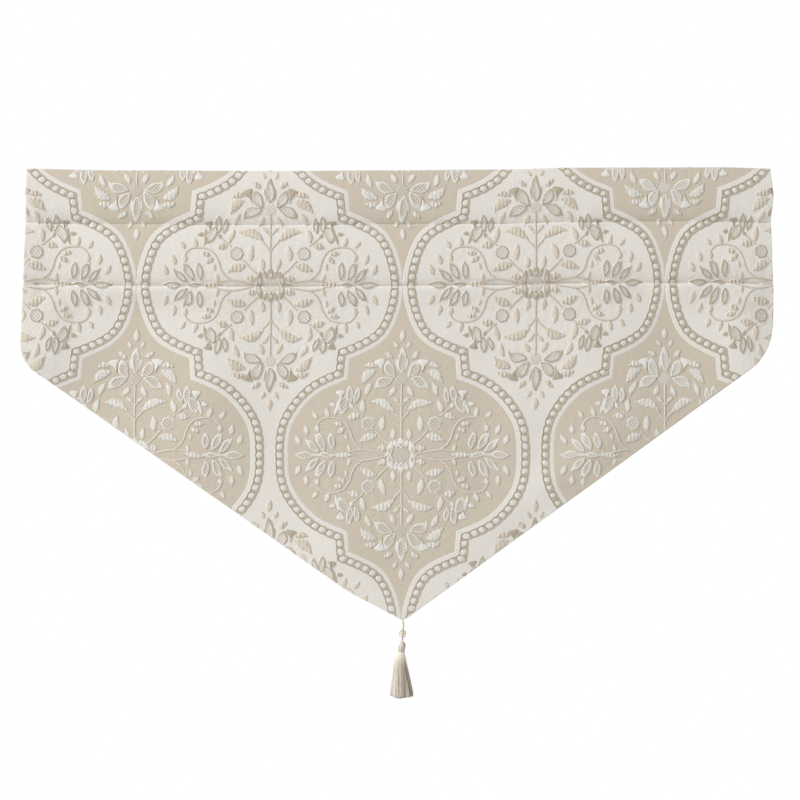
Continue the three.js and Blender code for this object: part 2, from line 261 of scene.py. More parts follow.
# Solid petals and sepals. Those widest at their ends are horns with a flat top.
QUARTER_HORNS = [
    Leaf(35.5, 150.5, 25, 18, 76, 0, 2, 0.86),
    Leaf(8, 154, 24, 4, 84, 0, 0, 0.5),
    Leaf(43, 120, 18, 4.5, -72, -1, 0, 0.5),
    Leaf(104, 99.5, 20, 14, 84, 0, 2, 0.86),
    Leaf(111, 82, 31, 6.5, -76, -1.5, 0, 0.5),
    Leaf(119, 86, 11, 7, 4, 0, 0, 0.35),
    Leaf(86.5, 84, 11, 6, 62, 0, 0, 0.4),
    Leaf(145, 28, 22, 4.5, 74, 1, 0, 0.5),
    Leaf(160, 20, 21, 5, 60, 1, 0, 0.55),
]
SIDE_BUDS = [Leaf(167, 0, 34, 13, 0, 0, 0, 0.45), Leaf(129, 0, 28, 9, 0, 0, 0, 0.5)]
TOP_PETALS = [Leaf(0, 161, 44, 15, 90, 0, 0, 0.45)]
# The flower at a medallion's heart: its petals in each quarter, above and below, and at the sides.
HEART_PETALS = [Leaf(17, 11.5, 26, 10.5, 97, -2, 0, 0.5), Leaf(9, 18.5, 15, 7, 68, 0, 0, 0.55)]
HEART_TIPS = [Leaf(0, 20, 18, 12, 90, 0, 0, 0.55)]
HEART_SIDES = [Leaf(22.5, 0, 10, 8, 0, 0, 0, 0.5)]
# Mirrors of a quarter, of an upright half and of a level half, as signs of x and up.
QUARTERS = [(1, 1), (-1, 1), (1, -1), (-1, -1)]
HALVES_UP = [(1, 1), (1, -1)]
HALVES_SIDE = [(1, 1), (-1, 1)]
# What stands in each mirror: leaves, rows and columns of a grid, how hollow, and how much is solid.
LEAF_SETS = [
    (
        QUARTERS,
        [
            ([leaf for leaf in QUARTER_LEAVES if not leaf.ribs], 11, 7, 0, 0),
            ([leaf for leaf in QUARTER_LEAVES if leaf.ribs], 31, 7, 0, 0),
        ],
    ),
    (HALVES_UP, [(AXIS_LEAVES, 11, 7, 0, 0)]),
    (HALVES_SIDE, [(SIDE_LEAVES, 31, 7, 0, 0)]),
]
FLOWER_SETS = [
    (
        QUARTERS,
        [(QUARTER_PETALS, 13, 9, 0.9, 0.2), (QUARTER_HORNS, 13, 9, 0, 1), (HEART_PETALS, 13, 9, 0.6, 0.5)],
    ),
    (HALVES_UP, [(TOP_PETALS, 13, 9, 0.9, 0.25), (HEART_TIPS, 13, 9, 0.6, 0.5)]),
    (HALVES_SIDE, [(SIDE_BUDS, 13, 9, 0.4, 0), (HEART_SIDES, 13, 9, 0, 0)]),
]
# Round flowers and hearts of flowers.
Disc = namedtuple("Disc", "x up radius")
HEART = Disc(0, 0, 14.5)
ROUND_FLOWER = Disc(57, 53.5, 11.6)
TOP_HEART = Disc(0, 128, 10)
# Stems of a quarter medallion as paths of x, up.
QUARTER_STEMS = [
    [(18, 17), (31, 27), (45, 42)],
    [(66, 66), (75, 73), (85, 82)],
    [(26, 2), (45, 6), (66, 9), (84, 7), (100, 2)],
    [(66, 9), (77, 17), (84, 28), (88.5, 43), (98, 57), (114, 63.5), (133, 62.5), (143, 54), (145, 44)],
    [(1, 58), (5, 65), (13, 73)],
    [(1, 84), (9, 94)],
]
TOP_STEMS = [[(0, 20), (0, 60), (0, 120)]]
SIDE_STEMS = [[(112, 0), (135, 0), (156, 0)]]

# Tassel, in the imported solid's places. The cord's route repeats the part's own.
CORD_ROUTE = np.array(
    [
        (8.0, -0.9, -763.6), (8.6, -1.0, -767.5), (9.3, -1.1, -771.5), (9.1, -1.1, -776.0),
        (8.3, -1.0, -781.0), (8.2, -1.0, -786.7), (8.1, -1.0, -792.5), (7.7, -0.9, -796.0),
        (7.3, -0.8, -799.3),
    ]
)
PLY_OFFSET, PLY_RADIUS = 0.8, 0.9  # two plies, from the cord's middle line
TWIST = 5.2  # length of one turn of the plies

# Weave, in millimetres. It is coarser than the real threads so that it shows.
RIBS_APART = 1.7  # ribs of the ivory ground
DIAPER_APART = 3.9  # crossed lines of the beige ground
FLOATS_APART = 2.2  # loose threads on the wrong side
TIES_APART = 4.4  # crossed ties inside the flowers
# Noise, in spots to the metre.
SLUBS = 28.0  # uneven yarn, about 36 mm long
PUCKERS = 90.0  # bumps of the ground, about 11 mm wide
FLECKS = 420.0  # ties inside the leaves, about 2 mm wide and twice as tall
GRAIN = 700.0  # loose yarn, about 1.4 mm wide

# The stage, in metres.
CAMERA_DISTANCE = 4.6
CAMERA_ASIDE = 0.005
AIM_HEIGHT = 0.5051  # above the tassel's end
VIEW_WIDTH = 1.3584  # what the camera takes in at the cloth
SENSOR = 36
FLOOR_DROP = 0.7  # below the tassel's end


# ---------------------------------------------------------------- colours and nodes


def linear(hex_code):
    """sRGB hex code to linear RGB."""
    value = np.array([int(hex_code[i : i + 2], 16) for i in (0, 2, 4)]) / 255
    return tuple(np.where(value <= 0.04045, value / 12.92, ((value + 0.055) / 1.055) ** 2.4))


def mixed(first, second, share):
    """A colour between two."""
    return tuple(a + (b - a) * share for a, b in zip(first, second))


def set_inputs(tree, node, inputs):
    """Gives each named input its number or colour, or links it to the socket that feeds it."""
    for key, value in inputs.items():
        if isinstance(value, bpy.types.NodeSocket):
            tree.links.new(value, node.inputs[key])
        else:
            node.inputs[key].default_value = value


def add_node(tree, kind, inputs, **settings):
    """Adds a shader node with its settings and inputs, and returns its outputs."""
    node = tree.nodes.new("ShaderNode" + kind)
    for key, value in settings.items():
        setattr(node, key, value)
    set_inputs(tree, node, inputs)
    return node.outputs


def new_material(name):
    """A new material, its node tree and its surface shader."""
    material = bpy.data.materials.new(name)
    material.use_nodes = True
    return material, material.node_tree, material.node_tree.nodes["Principled BSDF"]


def band_scale(period_mm):
    """Scale of a Wave texture in bands whose stripes lie this far apart."""
    return math.pi / 10 / (period_mm * MM)


# ---------------------------------------------------------------- shape of the hung cloth


def ease(value, start, end):
    """Smooth step: 0 up to start, 1 from end, and 3t^2 - 2t^3 between."""
    t = np.clip((value - start) / (end - start), 0, 1)
    return t * t * (3 - 2 * t)


def between(table, column, at):
    """A table's column at places in its first column, eased from each row to the next."""
    keys, values = table[:, 0], table[:, column]
    i = np.clip(np.searchsorted(keys, at, side="right") - 1, 0, len(keys) - 2)
    return values[i] + (values[i + 1] - values[i]) * ease(at, keys[i], keys[i + 1])


def side_edges(v):
    """Left and right edge at a place down the cloth; the turned part mirrors the face."""
    down = np.abs(v)
    return between(SIDES, 1, down), between(SIDES, 2, down)


def corner_down(corner, inward):
    """Lower edge by a corner: an arc tangent to the upright side, then the slanting straight line."""
    slant = math.hypot(1, corner.slope)
    arc_end = corner.radius * (1 - corner.slope / slant)
    centre = corner.meet + corner.slope * corner.radius - corner.radius * slant
    arc = centre + np.sqrt(np.clip(corner.radius**2 - (corner.radius - inward) ** 2, 0, None))
    return np.where(inward >= arc_end, corner.meet + corner.slope * inward, arc)


def lower_edge(x):
    """How far down the cloth reaches: two slants with rounded corners, the left one bent near the tip."""
    right = corner_down(RIGHT_CORNER, RIGHT_CORNER.x - x)
    left = corner_down(LEFT_CORNER, x - LEFT_CORNER.x)
    bend_down = LEFT_CORNER.meet + LEFT_CORNER.slope * (BEND_X - LEFT_CORNER.x)
    share = (x - BEND_X) / (TIP_X - TIP_BLUNT - BEND_X)
    flat = bend_down + (TIP_DOWN - bend_down) * share
    eased = ease(x, BEND_X - BEND_SOFT, BEND_X + BEND_SOFT)
    left = left + (np.minimum(left, flat) - left) * eased
    return np.minimum(np.where(x > TIP_X, right, left), TIP_DOWN)


def swelling(down, start, end):
    """0 at both ends and 1 halfway: one minus a power of the distance from the middle."""
    share = np.clip((down - start) / (end - start), 0, 1)
    return 1 - np.abs(2 * share - 1) ** ROUNDNESS


def bells(folds, x, down):
    """Sum of turned bell shapes: forward * exp(-(across)^2 - (along)^2)."""
    total = np.zeros(np.broadcast(x, down).shape)
    for fold in folds:
        turn = math.radians(fold.turn)
        dx, dz = x - fold.x, down - fold.down
        across = (dx * math.cos(turn) + dz * math.sin(turn)) / fold.across
        along = (dz * math.cos(turn) - dx * math.sin(turn)) / fold.along
        total += fold.forward * np.exp(-(across**2) - along**2)
    return total


def stitch_pull(x, down):
    """Groove and small gathers along the stitch rows, and the lip of loose cloth under the lower one.

    A groove is an exponential dip, wide above the row and narrow below it, with a low ridge after it. The
    gathers are slow waves along x that fade away from the row. The lip rises as 1 - e^-d and falls as
    e^-(d^2) with the distance below the row.
    """
    waves = 0.5 * np.sin(x / 8.3 + 0.7) * np.sin(x / 37.0) + 0.5 * np.sin(x / 13.1 + 2.0)
    pull = np.zeros(np.broadcast(x, down).shape)
    for row in (UPPER_ROW, LOWER_ROW):
        below = down - row
        off = np.abs(below)
        reach = np.where(below < 0, GROOVE_ABOVE, GROOVE_BELOW)
        pull -= GROOVE_DEPTH * np.exp(-((off / reach) ** 1.2))
        pull += GROOVE_LIP * np.exp(-(((below - 3.4) / 1.7) ** 2))
        pull += GATHER * waves * (off / GATHER_REACH) * np.exp(1 - off / GATHER_REACH)
    free = np.clip(down - LOWER_ROW, 0, None)
    lip = (1 - np.exp(-free / LIP_START)) * np.exp(-((free / LIP_FALL) ** 2))
    return pull + LIP * between(LIP_SHARE, 1, x) * lip


def front_face(x, down):
    """Distance of the cloth's face in front of the plane of the stitch rows."""
    swell = HEADING_PUFF * swelling(down, 0, UPPER_ROW)
    swell = swell + POCKET_PUFF * swelling(down, UPPER_ROW, LOWER_ROW)
    freedom = ease(down, LOWER_ROW, FREE_FROM)
    held = HEADING_SHARE * (1 - ease(down, UPPER_ROW - HEADING_END, UPPER_ROW))
    soft = bells(FOLDS, x, down) * np.maximum(freedom, held)
    return LAYER + swell + soft + bells(CREASES, x, down) + stitch_pull(x, down)


def layer_gap(down):
    """Free space between the face layer and the turned layer."""
    pocket = POCKET_DEPTH * swelling(down, UPPER_ROW, LOWER_ROW)
    return np.where(down < UPPER_ROW, LAYER_GAP, pocket)


def outline():
    """The panel's flat outline, from the turned end at the left, round the point, to the right."""
    left_v = np.linspace(-TURNED_END - HEM, float(lower_edge(np.array(LEFT_CORNER.x))), 90)
    right_v = np.linspace(float(lower_edge(np.array(RIGHT_CORNER.x))), -TURNED_END - HEM, 90)
    turn = np.linspace(0, 1, 24)[1:] ** 2
    low_x = np.concatenate(
        [
            LEFT_CORNER.x + LEFT_CORNER.radius * turn,
            np.linspace(LEFT_CORNER.x + LEFT_CORNER.radius, TIP_X - TIP_BLUNT, 110)[1:],
            np.linspace(TIP_X + TIP_BLUNT, RIGHT_CORNER.x - RIGHT_CORNER.radius, 90)[:-1],
            RIGHT_CORNER.x - RIGHT_CORNER.radius * turn[::-1],
        ]
    )
    sides = [np.stack([side_edges(left_v)[0], left_v], 1), np.stack([side_edges(right_v)[1], right_v], 1)]
    return np.concatenate([sides[0], np.stack([low_x, lower_edge(low_x)], 1), sides[1]])


OUTLINE = outline()


def nearest(line, points):
    """Nearest point of a line of straight steps to each point, and its distance."""
    start, step = line[:-1], np.diff(line, axis=0)
    length = (step**2).sum(1)
    foot, gap = np.empty_like(points), np.empty(len(points))
    for chunk in np.array_split(np.arange(len(points)), max(1, len(points) // 8000)):
        to = points[chunk, None] - start
        share = np.clip((to * step).sum(2) / length, 0, 1)
        off = ((to - share[..., None] * step) ** 2).sum(2)
        best = off.argmin(1)
        at = np.arange(len(chunk))
        foot[chunk] = start[best] + share[at, best, None] * step[best]
        gap[chunk] = np.sqrt(off[at, best])
    return foot, gap


def from_outline(points):
    """Nearest point of the outline, and the distance past it, which is negative on the panel."""
    foot, gap = nearest(OUTLINE, points)
    left, right = side_edges(points[:, 1])
    inside = (points[:, 0] > left) & (points[:, 0] < right) & (points[:, 1] < lower_edge(points[:, 0]))
    return foot, np.where(inside, -gap, gap)


def turn_hems(x, v):
    """Rolls what lies past the outline round to the back. Returns x, v and the depth behind the face."""
    shape = x.shape
    flat = np.stack([x.ravel(), v.ravel()], 1).astype(float)
    depth = np.zeros(len(flat))
    left, right = side_edges(flat[:, 1])
    low = lower_edge(flat[:, 0])
    # Only what lies near a free edge is measured from the outline.
    chosen = np.flatnonzero((flat[:, 0] < left + 6) | (flat[:, 0] > right - 6) | (flat[:, 1] > low - 40))
    if len(chosen):
        foot, past = from_outline(flat[chosen])
        rolls = past > -ROLL
        chosen, foot, past = chosen[rolls], foot[rolls], past[rolls]
        away = flat[chosen] - foot
        size = np.maximum(np.abs(past), 1e-6)
        away = away * (np.sign(past) / size)[:, None]
        past = np.minimum(past, HEM)
        angle = np.clip((past + ROLL) / ROLL, 0, math.pi)
        rest = np.maximum(past + ROLL - math.pi * ROLL, 0)
        flat[chosen] = foot + away * (-ROLL + ROLL * np.sin(angle) - rest)[:, None]
        depth[chosen] = ROLL * (1 - np.cos(angle))
    return flat[:, 0].reshape(shape), flat[:, 1].reshape(shape), depth.reshape(shape)


def hang(x, v):
    """Where a flat place of the face hangs: in front, on the arc over the top edge, or behind."""
    x, v, depth = turn_hems(x, np.maximum(v, -TURNED_END))
    radius = LAYER + LAYER_GAP / 2
    back_by = np.clip((radius - v) / radius, 0, math.pi)
    behind = np.maximum(radius - v - math.pi * radius, 0)
    down = np.where(v >= radius, v, radius - radius * np.sin(back_by) + behind)
    on_front = -front_face(x, np.maximum(down, radius))
    on_arc = on_front + radius - radius * np.cos(back_by)
    on_back = on_front + 2 * LAYER + layer_gap(down)
    y = np.where(v >= radius, on_front, np.where(behind > 0, on_back, on_arc))
    inward = np.where(behind > 0, -1.0, np.cos(back_by))
    y = y + depth * inward
    down = down + depth * np.where(behind > 0, 0.0, np.sin(back_by))
    fade = 1 - ease(down, LOWER_ROW, np.maximum(lower_edge(x), LOWER_ROW + 1))
    return np.stack([x, y, between(TOP_EDGE, 1, x) * fade - down], -1)


def on_cloth(x, v, height):
    """Points at a height above the face, along its normal, which is square to two short steps on it."""
    step = 0.3
    here = hang(x, v)
    across = hang(x + step, v) - here
    up = hang(x, v - step) - here
    normal = np.cross(across, up)
    size = np.linalg.norm(normal, axis=-1, keepdims=True)
    normal = np.where(size > 1e-5, normal / np.maximum(size, 1e-9), (0.0, 1.0, 0.0))
    return here + normal * np.asarray(height)[..., None]


# ---------------------------------------------------------------- meshes


def grid_faces(rows, cols, closed=False):
    """Quads of a grid of rows by cols points; closed joins the last column to the first."""
    i, j = np.meshgrid(np.arange(rows - 1), np.arange(cols if closed else cols - 1), indexing="ij")
    k = (j + 1) % cols
    here, below = i * cols, (i + 1) * cols
    return np.stack([here + j, below + j, below + k, here + k], -1).reshape(-1, 4)


def make_piece(name, points, faces, materials, attributes=None, smooth=True, merge=0.0):
    """A mesh object from points in millimetres, faces and per-point attributes, riding on the frame."""
    mesh = bpy.data.meshes.new(name)
    mesh.from_pydata((points * MM).tolist(), [], faces.tolist())
    for key, values in (attributes or {}).items():
        kind = "FLOAT_VECTOR" if values.ndim == 2 else "FLOAT"
        layer = mesh.attributes.new(key, kind, "POINT")
        field = "vector" if values.ndim == 2 else "value"
        layer.data.foreach_set(field, values.astype(np.float32).ravel())
    if merge:
        work = bmesh.new()
        work.from_mesh(mesh)
        bmesh.ops.remove_doubles(work, verts=work.verts, dist=merge * MM)
        bmesh.ops.dissolve_degenerate(work, edges=work.edges, dist=merge * MM)
        work.to_mesh(mesh)
        work.free()
    mesh.polygons.foreach_set("use_smooth", [smooth] * len(mesh.polygons))
    for material in materials:
        mesh.materials.append(material)
    mesh.update()
    piece = bpy.data.objects.new(name, mesh)
    bpy.context.scene.collection.objects.link(piece)
    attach(piece, "root")
    return piece


def run_along(points):
    """Distance along a line at each of its points."""
    return np.concatenate([[0], np.cumsum(np.linalg.norm(np.diff(points, axis=0), axis=1))])


def on_run(line, run, at):
    """Points on a line at distances along it."""
    return np.stack([np.interp(at, run, line[:, k]) for k in range(line.shape[1])], 1)


def sideways(line, side):
    """Unit steps square to a line, to its left for 1 or its right for -1, longer where it bends."""
    step = np.diff(line, axis=0)
    step /= np.linalg.norm(step, axis=1, keepdims=True)
    normal = side * np.stack([-step[:, 1], step[:, 0]], 1)
    before, after = np.concatenate([normal[:1], normal]), np.concatenate([normal, normal[-1:]])
    steps = before + after
    return steps / (steps * before).sum(1, keepdims=True)


def smooth_path(points, spacing):
    """Even points along a Catmull-Rom curve through the given ones."""
    points = np.asarray(points, float)
    if len(points) == 2:
        count = max(2, int(np.linalg.norm(points[1] - points[0]) / spacing) + 1)
        return points[0] + np.linspace(0, 1, count)[:, None] * (points[1] - points[0])
    ends = np.concatenate([[2 * points[0] - points[1]], points, [2 * points[-1] - points[-2]]])
    t = np.linspace(0, 1, 24, endpoint=False)[:, None]
    parts = []
    for a, b, c, d in zip(ends, ends[1:], ends[2:], ends[3:]):
        square, cube = 2 * a - 5 * b + 4 * c - d, 3 * b - a - 3 * c + d
        parts.append(0.5 * (2 * b + (c - a) * t + square * t**2 + cube * t**3))
    dense = np.concatenate(parts + [points[-1:]])
    run = run_along(dense)
    count = max(3, int(round(run[-1] / spacing)) + 1)
    return on_run(dense, run, np.linspace(0, run[-1], count))


def tubes(paths, radii, sides):
    """Round threads along many paths of equal point count, as one array of points and faces, ends closed.

    A ring stands square to each path point, turned to a fixed side direction, so that rings don't twist.
    """
    paths = np.asarray(paths, float)
    count, steps = paths.shape[:2]
    radii = np.broadcast_to(radii, (count, steps))
    along = np.gradient(paths, axis=1)
    along /= np.maximum(np.linalg.norm(along, axis=2, keepdims=True), 1e-9)
    side = np.cross(along, (0.13, 1.0, 0.07))
    side /= np.maximum(np.linalg.norm(side, axis=2, keepdims=True), 1e-9)
    other = np.cross(along, side)
    angle = np.linspace(0, 2 * math.pi, sides, endpoint=False)
    ring = side[:, :, None] * np.cos(angle)[:, None] + other[:, :, None] * np.sin(angle)[:, None]
    points = paths[:, :, None] + ring * radii[:, :, None, None]
    points[:, 0] = paths[:, :1]
    points[:, -1] = paths[:, -1:]
    faces = grid_faces(steps, sides, closed=True)[:, ::-1]
    size = steps * sides
    faces = (faces[None] + (np.arange(count) * size)[:, None, None]).reshape(-1, 4)
    run = np.repeat(np.linspace(0, 1, steps)[None, :, None], sides, 2)
    run = np.broadcast_to(run, (count, steps, sides)).reshape(-1)
    strand = np.repeat(np.arange(count), size)
    return points.reshape(-1, 3), faces, run, strand


def panel_rows():
    """How far down the straight rows of points lie: denser at the top edge and by the stitches."""
    near = np.array([-12, -8, -5, -3, -1.6, -0.8, 0, 0.7, 1.4, 2.3, 3.4, 5, 8, 12])
    return np.concatenate(
        [
            np.linspace(-TURNED_END, -110, 15),
            -UPPER_ROW + near[1:-1],
            np.linspace(-76, -12, 10),
            [-8, -6, -4.6, -3.2, -2, -0.8, 0.5, 1.6, 2.4, 4, 8],
            np.linspace(15, UPPER_ROW - 16, 9),
            UPPER_ROW + near,
            np.linspace(UPPER_ROW + 19, LOWER_ROW - 19, 9),
            LOWER_ROW + near,
            np.linspace(LOWER_ROW + 17, FREE_FROM, 4),
        ]
    )


def side_down(corner, mid_x, side, count):
    """Even edge points from FREE_FROM down a side and round its corner as far as mid_x."""
    arc_x = corner.x + (mid_x - corner.x) * np.linspace(0, 1, 30) ** 2
    side_v = np.linspace(FREE_FROM, float(lower_edge(np.array(corner.x))), 40)
    upright = np.stack([side_edges(side_v)[side], side_v], 1)
    line = np.concatenate([upright, np.stack([arc_x, lower_edge(arc_x)], 1)[1:]])
    run = run_along(line)
    return on_run(line, run, np.linspace(0, run[-1], count))


def coons_patch(top, bottom, left, right, across):
    """Both ruled surfaces between facing lines added up, less the one that its corners span."""
    w = np.linspace(0, 1, len(left))[:, None, None]
    patch = (1 - w) * top + w * bottom + (1 - across) * left[:, None] + across * right[:, None]
    patch -= (1 - across) * ((1 - w) * top[0] + w * bottom[0])
    return patch - across * ((1 - w) * top[-1] + w * bottom[-1])


def panel_grid():
    """Flat points and faces of the whole cut of cloth.

    Straight rows fill the part above FREE_FROM. Below it, a Coons patch blends the straight row with the
    lower edge. Round the three free sides runs a band that follows the outline: inside it, over the rolled
    edge and out to the end of the hem.
    """
    columns, low_rows = 216, 84
    band_inside = 12.0  # the band starts this far inside the outline
    corner_share = 0.12  # where the lower edge's columns start, as a share of the corner's radius
    left_mid = LEFT_CORNER.x + corner_share * LEFT_CORNER.radius
    right_mid = RIGHT_CORNER.x - corner_share * RIGHT_CORNER.radius
    tip_column = int(round(columns * (TIP_X - left_mid) / (right_mid - left_mid)))
    to_tip = np.linspace(left_mid, TIP_X, tip_column + 1)
    edge_x = np.concatenate([to_tip, np.linspace(TIP_X, right_mid, columns - tip_column + 1)[1:]])
    rows = panel_rows()
    left, right = side_edges(rows)
    edge = np.concatenate(
        [
            np.stack([left, rows], 1),
            side_down(LEFT_CORNER, left_mid, 0, low_rows + 1)[1:],
            np.stack([edge_x, lower_edge(edge_x)], 1)[1:-1],
            side_down(RIGHT_CORNER, right_mid, 1, low_rows + 1)[:0:-1],
            np.stack([right, rows], 1)[::-1],
        ]
    )
    outward = sideways(edge, 1)
    inner = edge - outward * band_inside
    total_rows, last = len(rows) + low_rows, len(rows) - 1
    left_line, bottom_line = inner[:total_rows], inner[total_rows - 1 : total_rows + columns]
    right_line = inner[total_rows + columns - 1 :][::-1]
    u = (edge_x - left_mid) / (right_mid - left_mid)
    grid = np.empty((total_rows, columns + 1, 2))
    grid[: last + 1, :, 0] = left_line[: last + 1, :1] * (1 - u) + right_line[: last + 1, :1] * u
    grid[: last + 1, :, 1] = rows[:, None]
    low_left, low_right = left_line[last:], right_line[last:]
    grid[last:] = coons_patch(grid[last], bottom_line, low_left, low_right, u[None, :, None])
    rolled = ROLL * (np.radians([0, 30, 60, 90, 120, 150, 180]) - 1)
    offsets = np.concatenate([[-7, -3], rolled, [4.5, 9, 16, HEM]])
    band = edge + outward * offsets[:, None, None]
    flat = np.concatenate([grid.reshape(-1, 2), band.reshape(-1, 2)])
    index = np.arange(total_rows * (columns + 1)).reshape(total_rows, columns + 1)
    inner_index = np.concatenate([index[:, 0], index[-1, 1:], index[-2::-1, -1]])
    band_index = index.size + np.arange(band.shape[0] * band.shape[1]).reshape(band.shape[:2])
    lines = np.concatenate([inner_index[None], band_index])
    quads = np.stack([lines[:-1, :-1], lines[1:, :-1], lines[1:, 1:], lines[:-1, 1:]], -1).reshape(-1, 4)
    faces = np.concatenate([grid_faces(total_rows, columns + 1), quads])
    return flat, face_front(flat[:, 0], flat[:, 1], faces)


def face_front(x, v, faces):
    """Turns faces over where their corners run clockwise as seen on the cloth's face."""
    a, b, c, d = (np.stack([x[faces[:, i]], -v[faces[:, i]]], 1) for i in range(4))
    first, second = c - a, d - b
    clockwise = first[:, 0] * second[:, 1] - first[:, 1] * second[:, 0] < 0
    faces = faces.copy()
    faces[clockwise] = faces[clockwise, ::-1]
    return faces


# ---------------------------------------------------------------- the lattice


def lattice_line(spacing):
    """Quarter of the lattice line as even points, and which of them are its two sharp turns."""
    body = smooth_path(BODY_ARC, spacing)
    riser = smooth_path([BODY_ARC[-1], NECK_ARC[0]], spacing)
    neck = smooth_path(NECK_ARC, spacing)
    line = np.concatenate([body, riser[1:], neck[1:]])
    return line, [len(body) - 1, len(body) + len(riser) - 2]


def skew(x, v):
    """Sideways shift of the pattern in the sewn cloth: eased steps at the sides, and bells further down."""
    ends = SKEW_RIGHT * ease(x, 310, 610) + SKEW_LEFT * (1 - ease(x, -600, -280))
    low = sum(shift * np.exp(-(((x - middle) / SKEW_REACH) ** 2)) for middle, shift in SKEW_BELLS)
    return ends + ease(v, 240, 420) * low


def beige_side(x, v):
    """Signed distance from the lattice line, positive on the beige side.

    The place is drawn back by the skew and folded into one quarter of a medallion first.
    """
    line, _ = lattice_line(6.0)
    x = x - skew(x - skew(x, v), v)
    fx = np.abs((x - PATTERN_X + REPEAT_X / 2) % REPEAT_X - REPEAT_X / 2)
    fy = np.abs((v - PATTERN_V + REPEAT_V / 2) % REPEAT_V - REPEAT_V / 2)
    points = np.stack([fx.ravel(), fy.ravel()], 1)
    gap = nearest(line, points)[1]
    side = np.interp(points[:, 1], line[:, 1], line[:, 0])
    return (gap * np.where(points[:, 0] > side, 1, -1)).reshape(x.shape)


def medallions(beige):
    """Centres of the medallions of one ground that reach the cloth."""
    aside, above, below = 215, 205, 290  # how far outside the cloth a centre may lie
    shift = 0.5 if beige else 0.0
    xs = PATTERN_X + REPEAT_X * (np.arange(-2, 4) + shift)
    vs = PATTERN_V + REPEAT_V * (np.arange(-2, 3) + shift)
    centres = np.array([(x, v) for x in xs for v in vs])
    reach = (np.abs(centres[:, 0]) < -LEFTMOST + aside) & (centres[:, 1] > -TURNED_END - above)
    low = lower_edge(np.clip(centres[:, 0], -600, 600)) + below
    return centres[reach & (centres[:, 1] < low)]


def crinkle(x, v, rate):
    """Uneven waves between -1 and 1, about 5 / rate mm long: products of sines along crossed ways."""
    first = np.sin(rate * (1.31 * x + 0.77 * v) + 2.1) * np.sin(rate * (0.93 * v - 1.17 * x) + 0.4)
    second = np.sin(rate * (2.3 * x - 1.9 * v) + 1.3) * np.sin(rate * (0.51 * x + 0.83 * v))
    return 0.6 * first + 0.4 * second


def join_patches(patches, skewed=True):
    """One set of points, faces and attributes from (x, v, height, inset, tint) patches of grids.

    The pattern is skewed with its cloth and crinkled a little, and what lies past the hem is left out.
    """
    columns, faces = [[] for _ in range(5)], []
    base = 0
    for patch in patches:
        count, rows, cols = patch[0].shape
        quads = grid_faces(rows, cols)[None] + (np.arange(count) * rows * cols)[:, None, None]
        for column, values in zip(columns, patch):
            column.append(np.broadcast_to(values, patch[0].shape).ravel())
        faces.append(quads.reshape(-1, 4) + base)
        base += patch[0].size
    x, v, height, inset, tint = (np.concatenate(column) for column in columns)
    x = x + skew(x, v) * skewed
    faces = face_front(x, v, np.concatenate(faces))
    off = (v < -TURNED_END) | (v > lower_edge(x) + 60) | (x < LEFTMOST - HEM) | (x > RIGHTMOST + HEM)
    chosen = np.flatnonzero(~off & ((np.abs(x) > 612) | (v > lower_edge(x) - 30)))
    _, past = from_outline(np.stack([x[chosen], v[chosen]], 1))
    off[chosen] = past > HEM
    # The iron flattens the pattern at every turned edge.
    pressed = 1 - 0.6 * (1 - ease(np.abs(v - 2), 4, 12))
    pressed[chosen] = np.minimum(pressed[chosen], 0.2 + 0.8 * ease(-past, 1, 14))
    height = np.where(height > 0, height * pressed * (1 + 0.3 * crinkle(x, v, 1.0)), height)
    x, v = x + 0.5 * crinkle(v, x, 0.55), v + 0.5 * crinkle(x, v, 0.5)
    faces = faces[~off[faces].all(1)]
    used, faces = np.unique(faces, return_inverse=True)
    faces = faces.reshape(-1, 4)
    attributes = {
        "inset": inset[used],
        "tint": tint[used],
        "flat": np.stack([x[used], v[used], np.zeros(len(used))], 1) * MM,
    }
    return on_cloth(x[used], v[used], height[used]), faces, attributes


